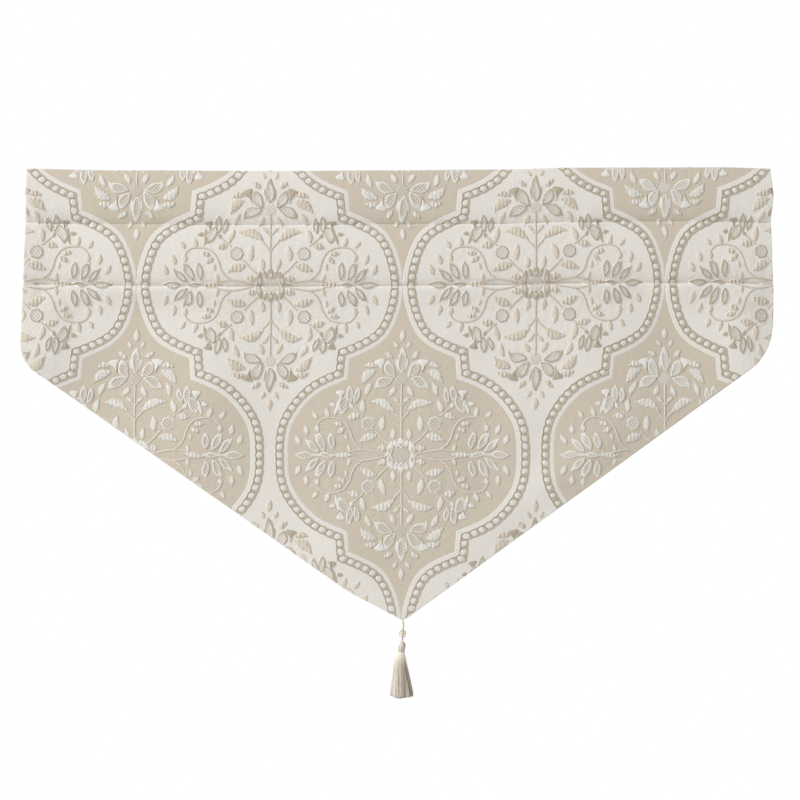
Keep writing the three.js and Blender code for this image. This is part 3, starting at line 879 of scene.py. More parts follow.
def leaf_shapes(leaves, height, random, rows=11, cols=7, hollow=0.0, solid=0.0):
    """Grids of leaves in quarter coordinates, with ground that swells up all round them.

    A leaf is a strip from its base to its tip. Its half width is sin(pi * s^p)^q and its middle line bends
    as a parabola. Its height is an ellipse across that fades at both ends. Leaves with ribs have a wavy
    rim, and upright grooves as bells of a sine along x. A hollow leaf is a petal: low inside, with a ridge
    along its rim. The solid share of it, at its tip, has the edge's colour. The grooves have the edge's
    darker colour too, as painted shade in them.
    """
    table = np.array(leaves, float)
    longer, turned, bowed, moved = random.normal(size=(len(table), 4)).T[..., None, None]
    s = np.linspace(0, 1, rows)[None, :, None]
    t = np.sin(np.linspace(-1, 1, cols) * math.pi / 2)[None, None, :]
    x, up, long, wide, turn, bend, ribs, peak = (column[:, None, None] for column in table.T)
    long = long * (1 + 0.05 * longer) + 2 * PUCKER
    wide = wide + 2 * PUCKER
    turn = np.radians(turn + 4 * turned)
    power = math.log(0.5) / np.log(peak)
    blunt = np.where(peak > 0.7, 0.45, np.where(hollow > 0.5, 0.75, 1.0))
    profile = np.sin(math.pi * s**power) ** blunt
    saw = np.where(ribs > 0, 1 + 0.22 * np.abs(np.sin(math.pi * ribs * s)) - 0.1, 1)
    half = wide / 2 * profile * saw
    side = t * half + bend * (1 - (2 * s - 1) ** 2)
    side = side + 0.02 * long * bowed * np.sin(2 * math.pi * s)
    run = (s - 0.5) * long + 0 * t
    point_x = x + np.cos(turn) * run - np.sin(turn) * side
    point_up = up + np.sin(turn) * run + np.cos(turn) * side
    inset = np.minimum((1 - np.abs(t)) * half, 0.7 * long * np.minimum(s, 1 - s))
    dome = np.clip(1 - t**2, 0, 1) ** 0.55 * np.clip(4 * s * (1 - s), 0, 1) ** 0.4
    groove = np.sin(math.pi * point_x / RIB_PITCH + 3 * moved)
    flute = np.where(ribs > 0, 0.3 - 0.85 * np.exp(-((groove / 0.45) ** 2)), 0)
    ridge = np.exp(-(((inset - PUCKER - 0.9) / 1.3) ** 2))
    filled = ease(s, 1 - solid - 0.12, 1 - solid + 0.12) * (solid > 0)
    deep = hollow * (1 - filled)
    body = (1 - deep) * dome * (0.8 + flute) + deep * (0.3 * dome + 0.75 * ridge)
    outer = (np.abs(t) > 0.999) | (s < 0.001) | (s > 0.999)
    lift = np.where(outer, DIP, height * np.minimum(1, wide / 10) * body)
    # Painted shade: the ribs' grooves take the edge's darker colour.
    tint = filled + np.where(ribs > 0, 0.7 * np.exp(-((groove / 0.4) ** 2)), 0)
    return point_x, point_up, lift, inset, tint + 0 * point_x


def disc_shapes(discs, height, outlined, rows=7, sides=42):
    """Round hearts of flowers: rings out to a scalloped rim, inside which an outlined one has a ridge."""
    table = np.array(discs, float)[:, :, None, None]
    s = np.linspace(0, 1, rows)[None, :, None]
    angle = np.linspace(0, 2 * math.pi, sides + 1)[None, None, :]
    radius = (table[:, 2] + PUCKER) * s * (1 - 0.16 * s * (1 - np.abs(np.sin(3.5 * angle))) ** 2)
    inset = (table[:, 2] + PUCKER) * (1 - s) + 0 * angle
    ridge = np.exp(-(((inset - PUCKER - 1.0) / 1.6) ** 2))
    lift = np.where(s > 0.999, DIP, height * (0.25 + 0.45 * ridge * outlined))
    inset = inset + 6.0 * (not outlined)
    return table[:, 0] + radius * np.cos(angle), table[:, 1] + radius * np.sin(angle), lift, inset, 0.0


def stem_shapes(paths, width, height):
    """Ribbons along stems: equal steps, with a parabola as section."""
    shapes = []
    for path in paths:
        line = smooth_path(path, 2.6)
        along = np.gradient(line, axis=0)
        along /= np.linalg.norm(along, axis=1, keepdims=True)
        left = np.stack([-along[:, 1], along[:, 0]], 1)
        t = np.linspace(-1, 1, 5)
        points = line[:, None] + left[:, None] * (t * width / 2)[None, :, None]
        section = np.where(np.abs(t) > 0.999, DIP, height * (1 - t**2) + 0.1)
        lift = section[None] + np.zeros((len(line), 1))
        inset = PUCKER + (1 - np.abs(t)) * width / 2 + 0 * lift
        shapes.append((points[None, :, :, 0], points[None, :, :, 1], lift[None], inset[None], 0.0))
    return shapes


def link_shapes(spots, turns, random, long, wide, tint):
    """Puffed links and bars: square grids drawn in to rounded blocks, slanted, with flat-topped domes."""
    a = np.linspace(-1, 1, 7)[None, :, None]
    b = np.linspace(-1, 1, 7)[None, None, :]
    longer, wider, turned, moved = random.normal(size=(len(spots), 4)).T[..., None, None]
    long = long * (1 + 0.06 * longer)
    wide = wide * (1 + 0.05 * wider)
    turn = np.radians(turns[:, None, None] + 4 * turned)
    side_a = a * np.sqrt(1 - 0.5 * b**2) * long / 2 + 0.5 * moved + LINK_SLANT * b * wide / 2
    side_b = b * np.sqrt(1 - 0.5 * a**2) * wide / 2
    edge = np.maximum(np.abs(a), np.abs(b)) + 0 * long
    dome = (1 - np.abs(a) ** 5) ** 0.6 * (1 - np.abs(b) ** 5) ** 0.6
    lift = np.where(edge > 0.999, -0.1, dome + 0.1)
    point_x = spots[:, 0, None, None] + np.cos(turn) * side_a - np.sin(turn) * side_b
    point_up = spots[:, 1, None, None] + np.sin(turn) * side_a + np.cos(turn) * side_b
    return point_x, point_up, lift, PUCKER + 2 * (1 - edge), tint


def band_shape(line, corners, run, links):
    """The woven band of a quarter: its section carried along the lattice line.

    At a sharp turn the inner side is cut back to the mitre, so that it doesn't cross itself. The side cords
    swing out round each link and in at each bar, as a cosine along the line.
    """
    step = np.diff(line, axis=0)
    step /= np.linalg.norm(step, axis=1, keepdims=True)
    offset = np.repeat(BAND_SECTION[None, :, 0], len(line), 0)
    for corner in corners:
        bend = np.cross(step[corner - 1], step[corner])
        half = 0.5 * math.acos(np.clip(step[corner - 1] @ step[corner], -1, 1))
        limit = np.abs(run - run[corner])[:, None] / math.tan(half)
        inner = -math.copysign(1, bend)
        offset = np.where(offset * inner > 0, inner * np.minimum(np.abs(offset), limit), offset)
    lift = np.interp(offset, BAND_SECTION[:, 0], BAND_SECTION[:, 1])
    swing = BAND_SWING * np.cos(2 * math.pi * run / (run[-1] / links))[:, None]
    cords = np.exp(-(((np.abs(offset) - BAND_HALF + 1.5) / 2.2) ** 2))
    placed = offset + np.sign(offset) * swing * cords
    points = line[:, None] + sideways(line, -1)[:, None] * placed[..., None]
    point_x = np.clip(points[..., 0], 0, REPEAT_X / 2)
    point_up = np.clip(points[..., 1], 0, REPEAT_V / 2)
    inset = PUCKER + BAND_HALF - np.abs(offset)
    return point_x[None], point_up[None], lift[None], inset[None], 0.0


def copies(shape, centres, signs):
    """A patch set for every medallion and mirror from one set of quarter shapes."""
    point_x, point_up, lift, inset, tint = shape
    x = np.concatenate([cx + sx * point_x for sx, sy in signs for cx, cv in centres])
    v = np.concatenate([cv - sy * point_up for sx, sy in signs for cx, cv in centres])
    repeat = (len(centres) * len(signs), 1, 1)
    tints = np.tile(np.broadcast_to(tint, point_x.shape), repeat)
    return x, v, np.tile(lift, repeat), np.tile(inset, repeat), tints


def sprays(sets, centres, height, random):
    """Leaves or petals of every medallion, each mirror with its own unevenness."""
    patches = []
    for centre in centres:
        for signs, groups in sets:
            for sign in signs:
                for leaves, rows, cols, hollow, solid in groups:
                    grids = leaf_shapes(leaves, height, random, rows, cols, hollow, solid)
                    patches.append(copies(grids, [centre], [sign]))
    return patches


# ---------------------------------------------------------------- materials


def crossed_lines(tree, flat, period_mm, operation):
    """Slightly uneven waves along both diagonals, put together by a Math node's operation."""
    waves = {}
    for way, angle in enumerate((45, -45)):
        turned = add_node(tree, "Mapping", {"Vector": flat, "Rotation": (0, 0, math.radians(angle))})
        wave = {"Scale": band_scale(period_mm), "Distortion": 0.9, "Detail": 1.0}
        waves[way] = add_node(tree, "TexWave", {"Vector": turned["Vector"], **wave})["Fac"]
    return add_node(tree, "Math", waves, operation=operation)["Value"]


def jacquard_face(colours):
    """Woven jacquard, its right side: matt, fine ribs on the ivory ground and a diaper on the beige."""
    material, tree, shader = new_material("jacquard face")
    flat = add_node(tree, "Attribute", {}, attribute_name="flat")["Vector"]
    side = add_node(tree, "Attribute", {}, attribute_name="beige")["Fac"]
    ground = add_node(
        tree,
        "MapRange",
        {"Value": side, "From Min": GROUND_EDGE - 0.5, "From Max": GROUND_EDGE + 0.5},
        interpolation_type="SMOOTHSTEP",
    )["Result"]
    ribs = add_node(
        tree,
        "TexWave",
        {"Vector": flat, "Scale": band_scale(RIBS_APART), "Distortion": 1.5, "Detail": 1.0},
        bands_direction="Y",
    )["Fac"]
    diaper = crossed_lines(tree, flat, DIAPER_APART, "MULTIPLY")
    weave = add_node(tree, "Mix", {"Factor": ground, "A": ribs, "B": diaper}, data_type="FLOAT")["Result"]
    yarn = add_node(
        tree,
        "Mix",
        {"Factor": ground, "A": (*colours.ivory, 1), "B": (*colours.beige, 1)},
        data_type="RGBA",
    )["Result"]
    # Painted shade darkens the hollows of the weave, and slubs make the yarn uneven.
    slub = add_node(tree, "TexNoise", {"Vector": flat, "Scale": SLUBS, "Detail": 4.0, "Roughness": 0.6})
    light = add_node(tree, "Math", {0: weave, 1: 0.1, 2: 0.94}, operation="MULTIPLY_ADD")["Value"]
    patchy = {0: slub["Fac"], 1: 0.05, 2: light}
    uneven = add_node(tree, "Math", patchy, operation="MULTIPLY_ADD")["Value"]
    shade = add_node(tree, "VectorMath", {0: yarn, "Scale": uneven}, operation="SCALE")["Vector"]
    # The shrinking back warp puckers the ground in soft bumps, least of them by the lattice.
    bumps = add_node(tree, "TexNoise", {"Vector": flat, "Scale": PUCKERS, "Detail": 2.0})["Fac"]
    apart = add_node(tree, "Math", {0: side}, operation="ABSOLUTE")["Value"]
    strength = add_node(
        tree,
        "MapRange",
        {"Value": apart, "From Min": 20.0, "From Max": 45.0, "To Min": 0.2, "To Max": 0.5},
        interpolation_type="SMOOTHSTEP",
    )["Result"]
    soft = add_node(tree, "Bump", {"Height": bumps, "Strength": strength, "Distance": 2.6 * MM})["Normal"]
    threads = {"Height": weave, "Normal": soft, "Strength": 0.6, "Distance": 0.3 * MM}
    fine = add_node(tree, "Bump", threads)["Normal"]
    set_inputs(tree, shader, {"Base Color": shade, "Normal": fine, "Roughness": 0.82, "Sheen Weight": 0.15})
    return material


def jacquard_reverse(colours):
    """Woven jacquard, its wrong side: the grounds change places and the floats lie loose and flat."""
    material, tree, shader = new_material("jacquard reverse")
    flat = add_node(tree, "Attribute", {}, attribute_name="flat")["Vector"]
    side = add_node(tree, "Attribute", {}, attribute_name="beige")["Fac"]
    ground = add_node(
        tree,
        "MapRange",
        {"Value": side, "From Min": GROUND_EDGE - 1.5, "From Max": GROUND_EDGE + 1.5},
        interpolation_type="SMOOTHSTEP",
    )["Result"]
    floats = add_node(
        tree,
        "TexWave",
        {"Vector": flat, "Scale": band_scale(FLOATS_APART), "Distortion": 3.0, "Detail": 2.0},
        bands_direction="X",
    )["Fac"]
    yarn = add_node(
        tree,
        "Mix",
        {"Factor": ground, "A": (*colours.beige, 1), "B": (*colours.ivory, 1)},
        data_type="RGBA",
    )["Result"]
    # Painted shade darkens the hollows between the loose floats.
    light = add_node(tree, "Math", {0: floats, 1: 0.12, 2: 0.88}, operation="MULTIPLY_ADD")["Value"]
    shade = add_node(tree, "VectorMath", {0: yarn, "Scale": light}, operation="SCALE")["Vector"]
    loose = add_node(tree, "Bump", {"Height": floats, "Strength": 0.5, "Distance": 0.3 * MM})["Normal"]
    set_inputs(tree, shader, {"Base Color": shade, "Normal": loose, "Roughness": 0.88})
    return material


def raised_weft(name, ground, edge, fill, ties, edge_width, tie_share, hatched=False):
    """Raised pattern weft: loose floats of soft yarn, in rings of colour by the distance in from the rim.

    First comes ground that swells up to the figure, then its edge, then its inside. A tinted place inside
    has the edge's colour too. Where the weft is tied down inside a figure, the colour of the ties shows: as
    crossed lines where it is hatched, else as flecks. A hatched inside is darkened to the right by painted
    shade, mixed towards the edge's colour where the key light falls off.
    """
    material, tree, shader = new_material(name)
    inset = add_node(tree, "Attribute", {}, attribute_name="inset")["Fac"]
    tint = add_node(tree, "Attribute", {}, attribute_name="tint")["Fac"]
    flat = add_node(tree, "Attribute", {}, attribute_name="flat")["Vector"]
    if hatched:
        lines = crossed_lines(tree, flat, TIES_APART, "MAXIMUM")
        tied_places = {"Value": lines, "From Min": 0.72, "From Max": 0.92, "To Max": tie_share}
    else:
        tall = add_node(tree, "Mapping", {"Vector": flat, "Scale": (1, 0.5, 1)})["Vector"]
        flecks = add_node(tree, "TexNoise", {"Vector": tall, "Scale": FLECKS, "Detail": 1.0})["Fac"]
        tied_places = {"Value": flecks, "From Min": 0.5, "From Max": 0.6, "To Max": tie_share}
    tied = add_node(tree, "MapRange", tied_places, interpolation_type="SMOOTHSTEP")["Result"]
    inner = {"Factor": tied, "A": (*fill, 1), "B": (*ties, 1)}
    inside = add_node(tree, "Mix", inner, data_type="RGBA")["Result"]
    # Painted shade: a hatched inside is mixed towards the edge's colour from the middle of the cloth to the
    # right, where the key light falls off.
    if hatched:
        place = add_node(tree, "SeparateXYZ", {"Vector": flat})["X"]
        shade_to_right = {"Value": place, "From Min": 0.0, "From Max": 0.5, "To Max": 0.35}
        share = add_node(tree, "MapRange", shade_to_right, interpolation_type="SMOOTHSTEP")["Result"]
        darker = {"Factor": share, "A": inside, "B": (*edge, 1)}
        inside = add_node(tree, "Mix", darker, data_type="RGBA")["Result"]
    ring = PUCKER + edge_width
    past_edge = {"Value": inset, "From Min": ring - 0.5, "From Max": ring + 0.5}
    deep = add_node(tree, "MapRange", past_edge, interpolation_type="SMOOTHSTEP")["Result"]
    untinted = add_node(tree, "Math", {0: deep, 1: tint}, operation="SUBTRACT", use_clamp=True)["Value"]
    figure = {"Factor": untinted, "A": (*edge, 1), "B": inside}
    past_rim = {"Value": inset, "From Min": PUCKER - 0.5, "From Max": PUCKER + 0.4}
    raised = {
        "Factor": add_node(tree, "MapRange", past_rim, interpolation_type="SMOOTHSTEP")["Result"],
        "A": (*ground, 1),
        "B": add_node(tree, "Mix", figure, data_type="RGBA")["Result"],
    }
    yarn = add_node(tree, "Mix", raised, data_type="RGBA")["Result"]
    grain = add_node(tree, "TexNoise", {"Vector": flat, "Scale": GRAIN, "Detail": 2.0})["Fac"]
    fluffy = add_node(tree, "Bump", {"Height": grain, "Strength": 0.8, "Distance": 0.8 * MM})["Normal"]
    set_inputs(tree, shader, {"Base Color": yarn, "Normal": fluffy, "Roughness": 0.7, "Sheen Weight": 0.15})
    return material


def silk_thread(name, colour, dark):
    """Spun rayon thread: silky, each thread a little lighter or darker than the next, and mixed towards the
    dark silk where its strand value carries painted shade.
    """
    material, tree, shader = new_material(name)
    strand = add_node(tree, "Attribute", {}, attribute_name="strand")["Fac"]
    blend = {"Factor": strand, "A": (*colour, 1), "B": (*dark, 1)}
    yarn = add_node(tree, "Mix", blend, data_type="RGBA")["Result"]
    set_inputs(tree, shader, {"Base Color": yarn, "Roughness": 0.42, "Sheen Weight": 0.25})
    return material


def cut_crystal(colour):
    """Cut crystal glass: cloudy and cream, with sharp facets."""
    material, tree, shader = new_material("cut crystal")
    glass = {"Base Color": (*colour, 1), "Roughness": 0.22, "IOR": 1.52, "Transmission Weight": 0.6}
    set_inputs(tree, shader, glass)
    return material


# ---------------------------------------------------------------- tassel

# The neck's axis in x and y, and heights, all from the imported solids.
Tassel = namedtuple("Tassel", "x y top bottom neck_high neck_low")
HEAD_ASIDE, NECK_ASIDE = -0.4, -0.5  # head and binding stand a little to the left of the axis
HEAD_THREADS, HEAD_THREAD = 90, 0.45  # count, radius of one
SIDE_THREADS, SIDE_THREAD = 26, 0.42
BINDING_TURNS, BINDING_RADIUS, BINDING_THREAD = 5, 4.5, 0.62


def round_axis(tassel, aside, reach, angle, height):
    """Points at a reach and angle round an axis that stands aside from the neck's."""
    x = tassel.x + aside + reach * np.cos(angle)
    y = tassel.y + reach * np.sin(angle)
    return np.stack(np.broadcast_arrays(x, y, height), -1)


def skirt_spread(tassel, height):
    """Half width of the skirt at a height, and how far its middle is aside: straight between the rows."""
    neck, bottom = tassel.neck_low, tassel.bottom
    drop = np.array(
        [
            (neck + 2.5, 4.6, -1.0), (neck - 2.5, 6.6, -2.0), (neck - 11, 9.6, -3.0),
            (neck - 21, 11.6, -3.2), (neck - 33, 13.6, -2.4), (neck - 47, 15.8, -1.5),
            (neck - 60, 18.0, -0.8), (neck - 69, 19.4, -0.2), (bottom, 19.6, 0.2),
        ]
    )
    return (np.interp(-height, -drop[:, 0], drop[:, k]) for k in (1, 2))


def skirt_start(tassel):
    """Height at which the skirt comes out of the neck."""
    return tassel.neck_low + 2.5


def skirt_end(tassel, angle):
    """Height of the cut end: lowest in front and behind, with a slow wave round it."""
    end = tassel.bottom + 0.7 + 2.8 * np.abs(np.cos(angle)) ** 3
    return end + 0.5 * np.cos(angle) + 0.5 * np.sin(4 * angle)


def skirt_core(tassel, silk, random):
    """Body under the skirt's threads: a cone with flutes, as sums of sines round it, closed below."""
    start = skirt_start(tassel)
    fall = np.linspace(0, 1, 30)[:, None]
    sides = 240
    angle = np.linspace(0, 2 * math.pi, sides, endpoint=False)

    def waves(counts):
        """Sum of sines with these counts round the skirt, of random heights and places."""
        return sum(random.uniform(0.3, 1) * np.sin(n * angle + random.uniform(0, 6.28)) for n in counts)

    flute = waves((5, 9, 13, 17, 23, 31))
    thread = waves(range(40, 90, 6))
    height = start + (skirt_end(tassel, angle) - start) * fall
    reach, aside = skirt_spread(tassel, height)
    ripple = 1 + fall * (0.03 * flute + 0.01 * thread)
    turn = angle + 0.12 * fall * np.sin(3 * angle + 2.0)
    body = round_axis(tassel, aside, 0.95 * reach * ripple, turn, height)
    inner = body[-1:].copy()
    inner[..., 0] = tassel.x + 0.2 * (body[-1:, :, 0] - tassel.x)
    inner[..., 1] = tassel.y + 0.2 * (body[-1:, :, 1] - tassel.y)
    inner[..., 2] += 5.0
    body = np.concatenate([body, inner])
    faces = grid_faces(len(body), sides, closed=True)[:, ::-1]
    # Painted shade: the body is darker to the right and in the hollows between its flutes, with random
    # streaks of tone.
    streaks_and_shade = 0.5 + 0.2 * np.cos(angle) - 0.16 * flute + 0.1 * thread + random.normal(size=sides) * 0.1
    shade = np.clip(np.repeat(streaks_and_shade[None], len(body), 0), 0, 1)
    return make_piece("skirt_core", body.reshape(-1, 3), faces, [silk], {"strand": shade.ravel()})


def skirt_threads(tassel, silk, random, settings):
    """Threads of the skirt: they spread as its body does, turning a little on the way down.

    They are lighter at the neck, a painted highlight where they bend over and shine, and darker to the
    right as painted shade.
    """
    start = skirt_start(tassel)
    count = settings.threads
    around = random.uniform(0, 2 * math.pi, count)[:, None]
    fall = np.linspace(0, 1, 16)
    end = skirt_end(tassel, around) - np.abs(random.normal(size=count))[:, None] * 0.7
    height = start + (end - start) * fall
    reach, aside = skirt_spread(tassel, height)
    lay = random.uniform(0.93, 1.0, count)[:, None] + 0.02 * np.sin(5 * fall + 7 * around)
    turn = around + 0.12 * fall * np.sin(3 * around + 2.0)
    turn = turn + 0.05 * fall * random.normal(size=(count, 1))
    paths = round_axis(tassel, aside, lay * reach, turn, height)
    points, faces, run, strand = tubes(paths, settings.thread_width / MM / 2, 5)
    # Painted shade to the right and a painted highlight at the neck, over a random tone for each thread.
    shade = 0.04 + random.uniform(0, 1, count) ** 1.4 * 0.8 + 0.28 * ease(np.cos(around[:, 0]), -0.2, 0.6)
    shade = np.clip(shade[strand] * (0.02 + 0.98 * ease(run, 0.06, 0.4)), 0, 1)
    return make_piece("tassel_skirt", points, faces, [silk], {"strand": shade})


def tassel_head(tassel, silk, random):
    """Head: a rounded bundle, and threads laid over it from the cord's end to the neck."""
    top, neck = tassel.top, tassel.neck_low
    # Height, half width.
    bulge = np.array(
        [
            (top, 1.2), (top - 0.8, 3.0), (top - 2.4, 4.5), (top - 5, 5.5), (top - 8, 5.6),
            (top - 11, 5.0), (top - 13.5, 4.1), (neck - 1, 3.9),
        ]
    )
    angle = np.linspace(0, 2 * math.pi, 48, endpoint=False)
    body = round_axis(tassel, HEAD_ASIDE, 0.93 * bulge[:, 1:], angle, bulge[:, :1])
    faces = grid_faces(len(body), len(angle), closed=True)[:, ::-1]
    shade = np.full(body.size // 3, 0.25)
    core = make_piece("head_core", body.reshape(-1, 3), faces, [silk], {"strand": shade})

    count = HEAD_THREADS
    around = random.uniform(0, 2 * math.pi, count)[:, None]
    at = np.linspace(0, 1, 14)
    height = top + 0.3 + (neck - 1.5 - top) * at + 0 * around
    lay = random.uniform(0.95, 1.08, count)[:, None] * np.interp(-height, -bulge[:, 0], bulge[:, 1])
    paths = round_axis(tassel, HEAD_ASIDE, lay, around + 0.35 * at, height)
    points, faces, _, strand = tubes(paths, HEAD_THREAD, 5)
    # Painted shade: the head's threads are darker to the right, with a little random tone.
    shade = random.uniform(0, 0.1, count) + 0.65 * ease(np.cos(around[:, 0]), 0.1, 0.6)
    shade = np.clip(shade, 0, 1)[strand]
    return core, make_piece("tassel_head", points, faces, [silk], {"strand": shade})


def side_threads(tassel, silk, random):
    """A few threads that pass over the binding on the left, from the head into the skirt."""
    top, count = tassel.top, SIDE_THREADS
    around = random.uniform(math.radians(165), math.radians(262), count)[:, None]
    at = np.linspace(0, 1, 16)
    height = top - 1.5 + (tassel.neck_low - 14 - top) * at + 0 * around
    over = np.interp(-height, [-top, 5 - top, 12 - top, 19 - top, 34 - top], [3.2, 5.6, 5.6, 5.4, 9.6])
    lay = over * random.uniform(0.97, 1.05, count)[:, None]
    aside = np.interp(-height, [-top, 16 - top, 34 - top], [-0.5, -1.2, -2.8])
    paths = round_axis(tassel, aside, lay, around + 0.1 * np.sin(4 * at + around), height)
    points, faces, _, strand = tubes(paths, SIDE_THREAD, 5)
    shade = random.uniform(0, 0.08, count)[strand]
    return make_piece("side_threads", points, faces, [silk], {"strand": shade})


# ---------------------------------------------------------------- settings


DYE = {"size": 3, "subtype": "COLOR", "min": 0, "max": 1}  # what every colour setting has


class ColourSettings(bpy.types.PropertyGroup):
    ivory: bpy.props.FloatVectorProperty(
        name="Ivory ground", description="The light ground", default=linear("ddd9d2"), **DYE
    )
    beige: bpy.props.FloatVectorProperty(
        name="Beige ground", description="The darker ground", default=linear("c7bcab"), **DYE
    )
    tan: bpy.props.FloatVectorProperty(
        name="Tan weft", description="Leaves on the ivory ground", default=linear("d4c8b7"), **DYE
    )
    taupe: bpy.props.FloatVectorProperty(
        name="Taupe weft", description="Petal edges and the lattice band", default=linear("b5a996"), **DYE
    )
    white: bpy.props.FloatVectorProperty(
        name="White weft", description="Leaves on the beige ground", default=linear("dedcd7"), **DYE
    )
    silk: bpy.props.FloatVectorProperty(
        name="Tassel silk", description="Threads and cord of the tassel", default=linear("ebe2d5"), **DYE
    )
    # Dark silk is also the colour that the tassel's painted shade mixes towards.
    shadow: bpy.props.FloatVectorProperty(
        name="Dark silk", description="Darkest threads of the tassel", default=linear("8f7d68"), **DYE
    )
    crystal: bpy.props.FloatVectorProperty(
        name="Bead", description="Tint of the cut bead", default=linear("f6eedd"), **DYE
    )


class ClothSettings(bpy.types.PropertyGroup):
    thickness: bpy.props.FloatProperty(
        name="Cloth thickness", description="One layer of jacquard", default=1.0 * MM, unit="LENGTH"
    )
    relief: bpy.props.FloatProperty(
        name="Relief", description="Height of the widest leaves", default=2.2 * MM, unit="LENGTH"
    )
    stitch: bpy.props.FloatProperty(
        name="Stitch pitch", description="From one stitch to the next", default=3.4 * MM, unit="LENGTH"
    )


class TasselSettings(bpy.types.PropertyGroup):
    threads: bpy.props.IntProperty(
        name="Threads", description="Threads in the tassel's skirt", default=420, min=40
    )
    thread_width: bpy.props.FloatProperty(
        name="Thread width", description="One thread of the skirt", default=0.6 * MM, unit="LENGTH"
    )


class ValanceSettings(bpy.types.PropertyGroup):
    colours: bpy.props.PointerProperty(type=ColourSettings)
    cloth: bpy.props.PointerProperty(type=ClothSettings)
    tassel: bpy.props.PointerProperty(type=TasselSettings)


# ---------------------------------------------------------------- operators


class VALANCE_OT_stage(bpy.types.Operator):
    """Sets the pale floor, the soft lights and the camera"""

    bl_idname = "valance.stage"
    bl_label = "Stage"

    def execute(self, context):
        scene = context.scene
        scene.view_settings.view_transform = "Standard"
        low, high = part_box("panel_cloth")
        lowest = CAD_BOX[0][2]
        aim_z = lowest + AIM_HEIGHT
        camera = bpy.data.objects.new("camera", bpy.data.cameras.new("camera"))
        camera.location = ((low.x + high.x) / 2 + CAMERA_ASIDE, -CAMERA_DISTANCE, aim_z)
        camera.rotation_euler = (math.pi / 2, 0, 0)
        camera.data.sensor_width = SENSOR
        camera.data.lens = SENSOR * CAMERA_DISTANCE / VIEW_WIDTH
        camera.data.clip_end = 50
        scene.collection.objects.link(camera)
        scene.camera = camera

        floor_z = lowest - FLOOR_DROP
        mesh = bpy.data.meshes.new("floor")
        edge = [(-3, -6, floor_z), (3, -6, floor_z), (3, 1.6, floor_z), (-3, 1.6, floor_z)]
        mesh.from_pydata(edge, [], [(0, 1, 2, 3)])
        floor = bpy.data.objects.new("floor", mesh)
        paint, tree, shader = new_material("pale floor paint")
        set_inputs(tree, shader, {"Base Color": (0.85, 0.85, 0.84, 1), "Roughness": 0.9})
        mesh.materials.append(paint)
        scene.collection.objects.link(floor)

        # The key light comes from the front left. The faint back light outlines the edges.
        for name, place, size, power, colour in (
            ("key light", (-7.2, -4.12, 4.52), 2.75, 705, (1.0, 0.995, 0.988)),
            ("back light", (1.5, 2.8, 1.2), 1.6, 30, (1.0, 1.0, 1.0)),
        ):
            light = bpy.data.lights.new(name, "AREA")
            light.shape = "DISK"
            light.size, light.energy, light.color = size, power, colour
            lamp = bpy.data.objects.new(name, light)
            lamp.location = place
            aim = Vector((0, 0, aim_z)) - lamp.location
            lamp.rotation_euler = aim.to_track_quat("-Z", "Y").to_euler()
            scene.collection.objects.link(lamp)

        # The world lights the cloth softly. Looked at, or seen through the bead, it is plain white.
        world = bpy.data.worlds.new("white studio")
        world.use_nodes = True
        tree = world.node_tree
        soft = tree.nodes["Background"]
        set_inputs(tree, soft, {"Color": (1, 1, 1, 1), "Strength": 0.59})
        plain = add_node(tree, "Background", {"Color": (1, 1, 1, 1), "Strength": 1.0})["Background"]
        ray = add_node(tree, "LightPath", {})
        looks = {0: ray["Is Camera Ray"], 1: ray["Is Transmission Ray"]}
        seen = add_node(tree, "Math", looks, operation="MAXIMUM")["Value"]
        sky = add_node(tree, "MixShader", {0: seen, 1: soft.outputs["Background"], 2: plain})["Shader"]
        set_inputs(tree, tree.nodes["World Output"], {"Surface": sky})
        scene.world = world
        return {"FINISHED"}


class VALANCE_OT_panel(bpy.types.Operator):
    """Cuts, hems and hangs the cloth of the panel"""

    bl_idname = "valance.panel"
    bl_label = "Panel cloth"

    def execute(self, context):
        settings = context.scene.valance
        flat, faces = panel_grid()
        x, v = flat[:, 0], flat[:, 1]
        points = hang(x, v)
        attributes = {"beige": beige_side(x, v), "flat": np.stack([x, v, np.zeros(len(x))], 1) * MM}
        materials = [jacquard_face(settings.colours), jacquard_reverse(settings.colours)]
        panel = make_piece("panel_jacquard", points, faces, materials, attributes)
        solid = panel.modifiers.new("Cloth thickness", "SOLIDIFY")
        solid.thickness = settings.cloth.thickness
        solid.offset = -1
        solid.use_rim = True
        solid.material_offset = 1
        solid.material_offset_rim = 1
        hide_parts("panel_cloth")
        return {"FINISHED"}


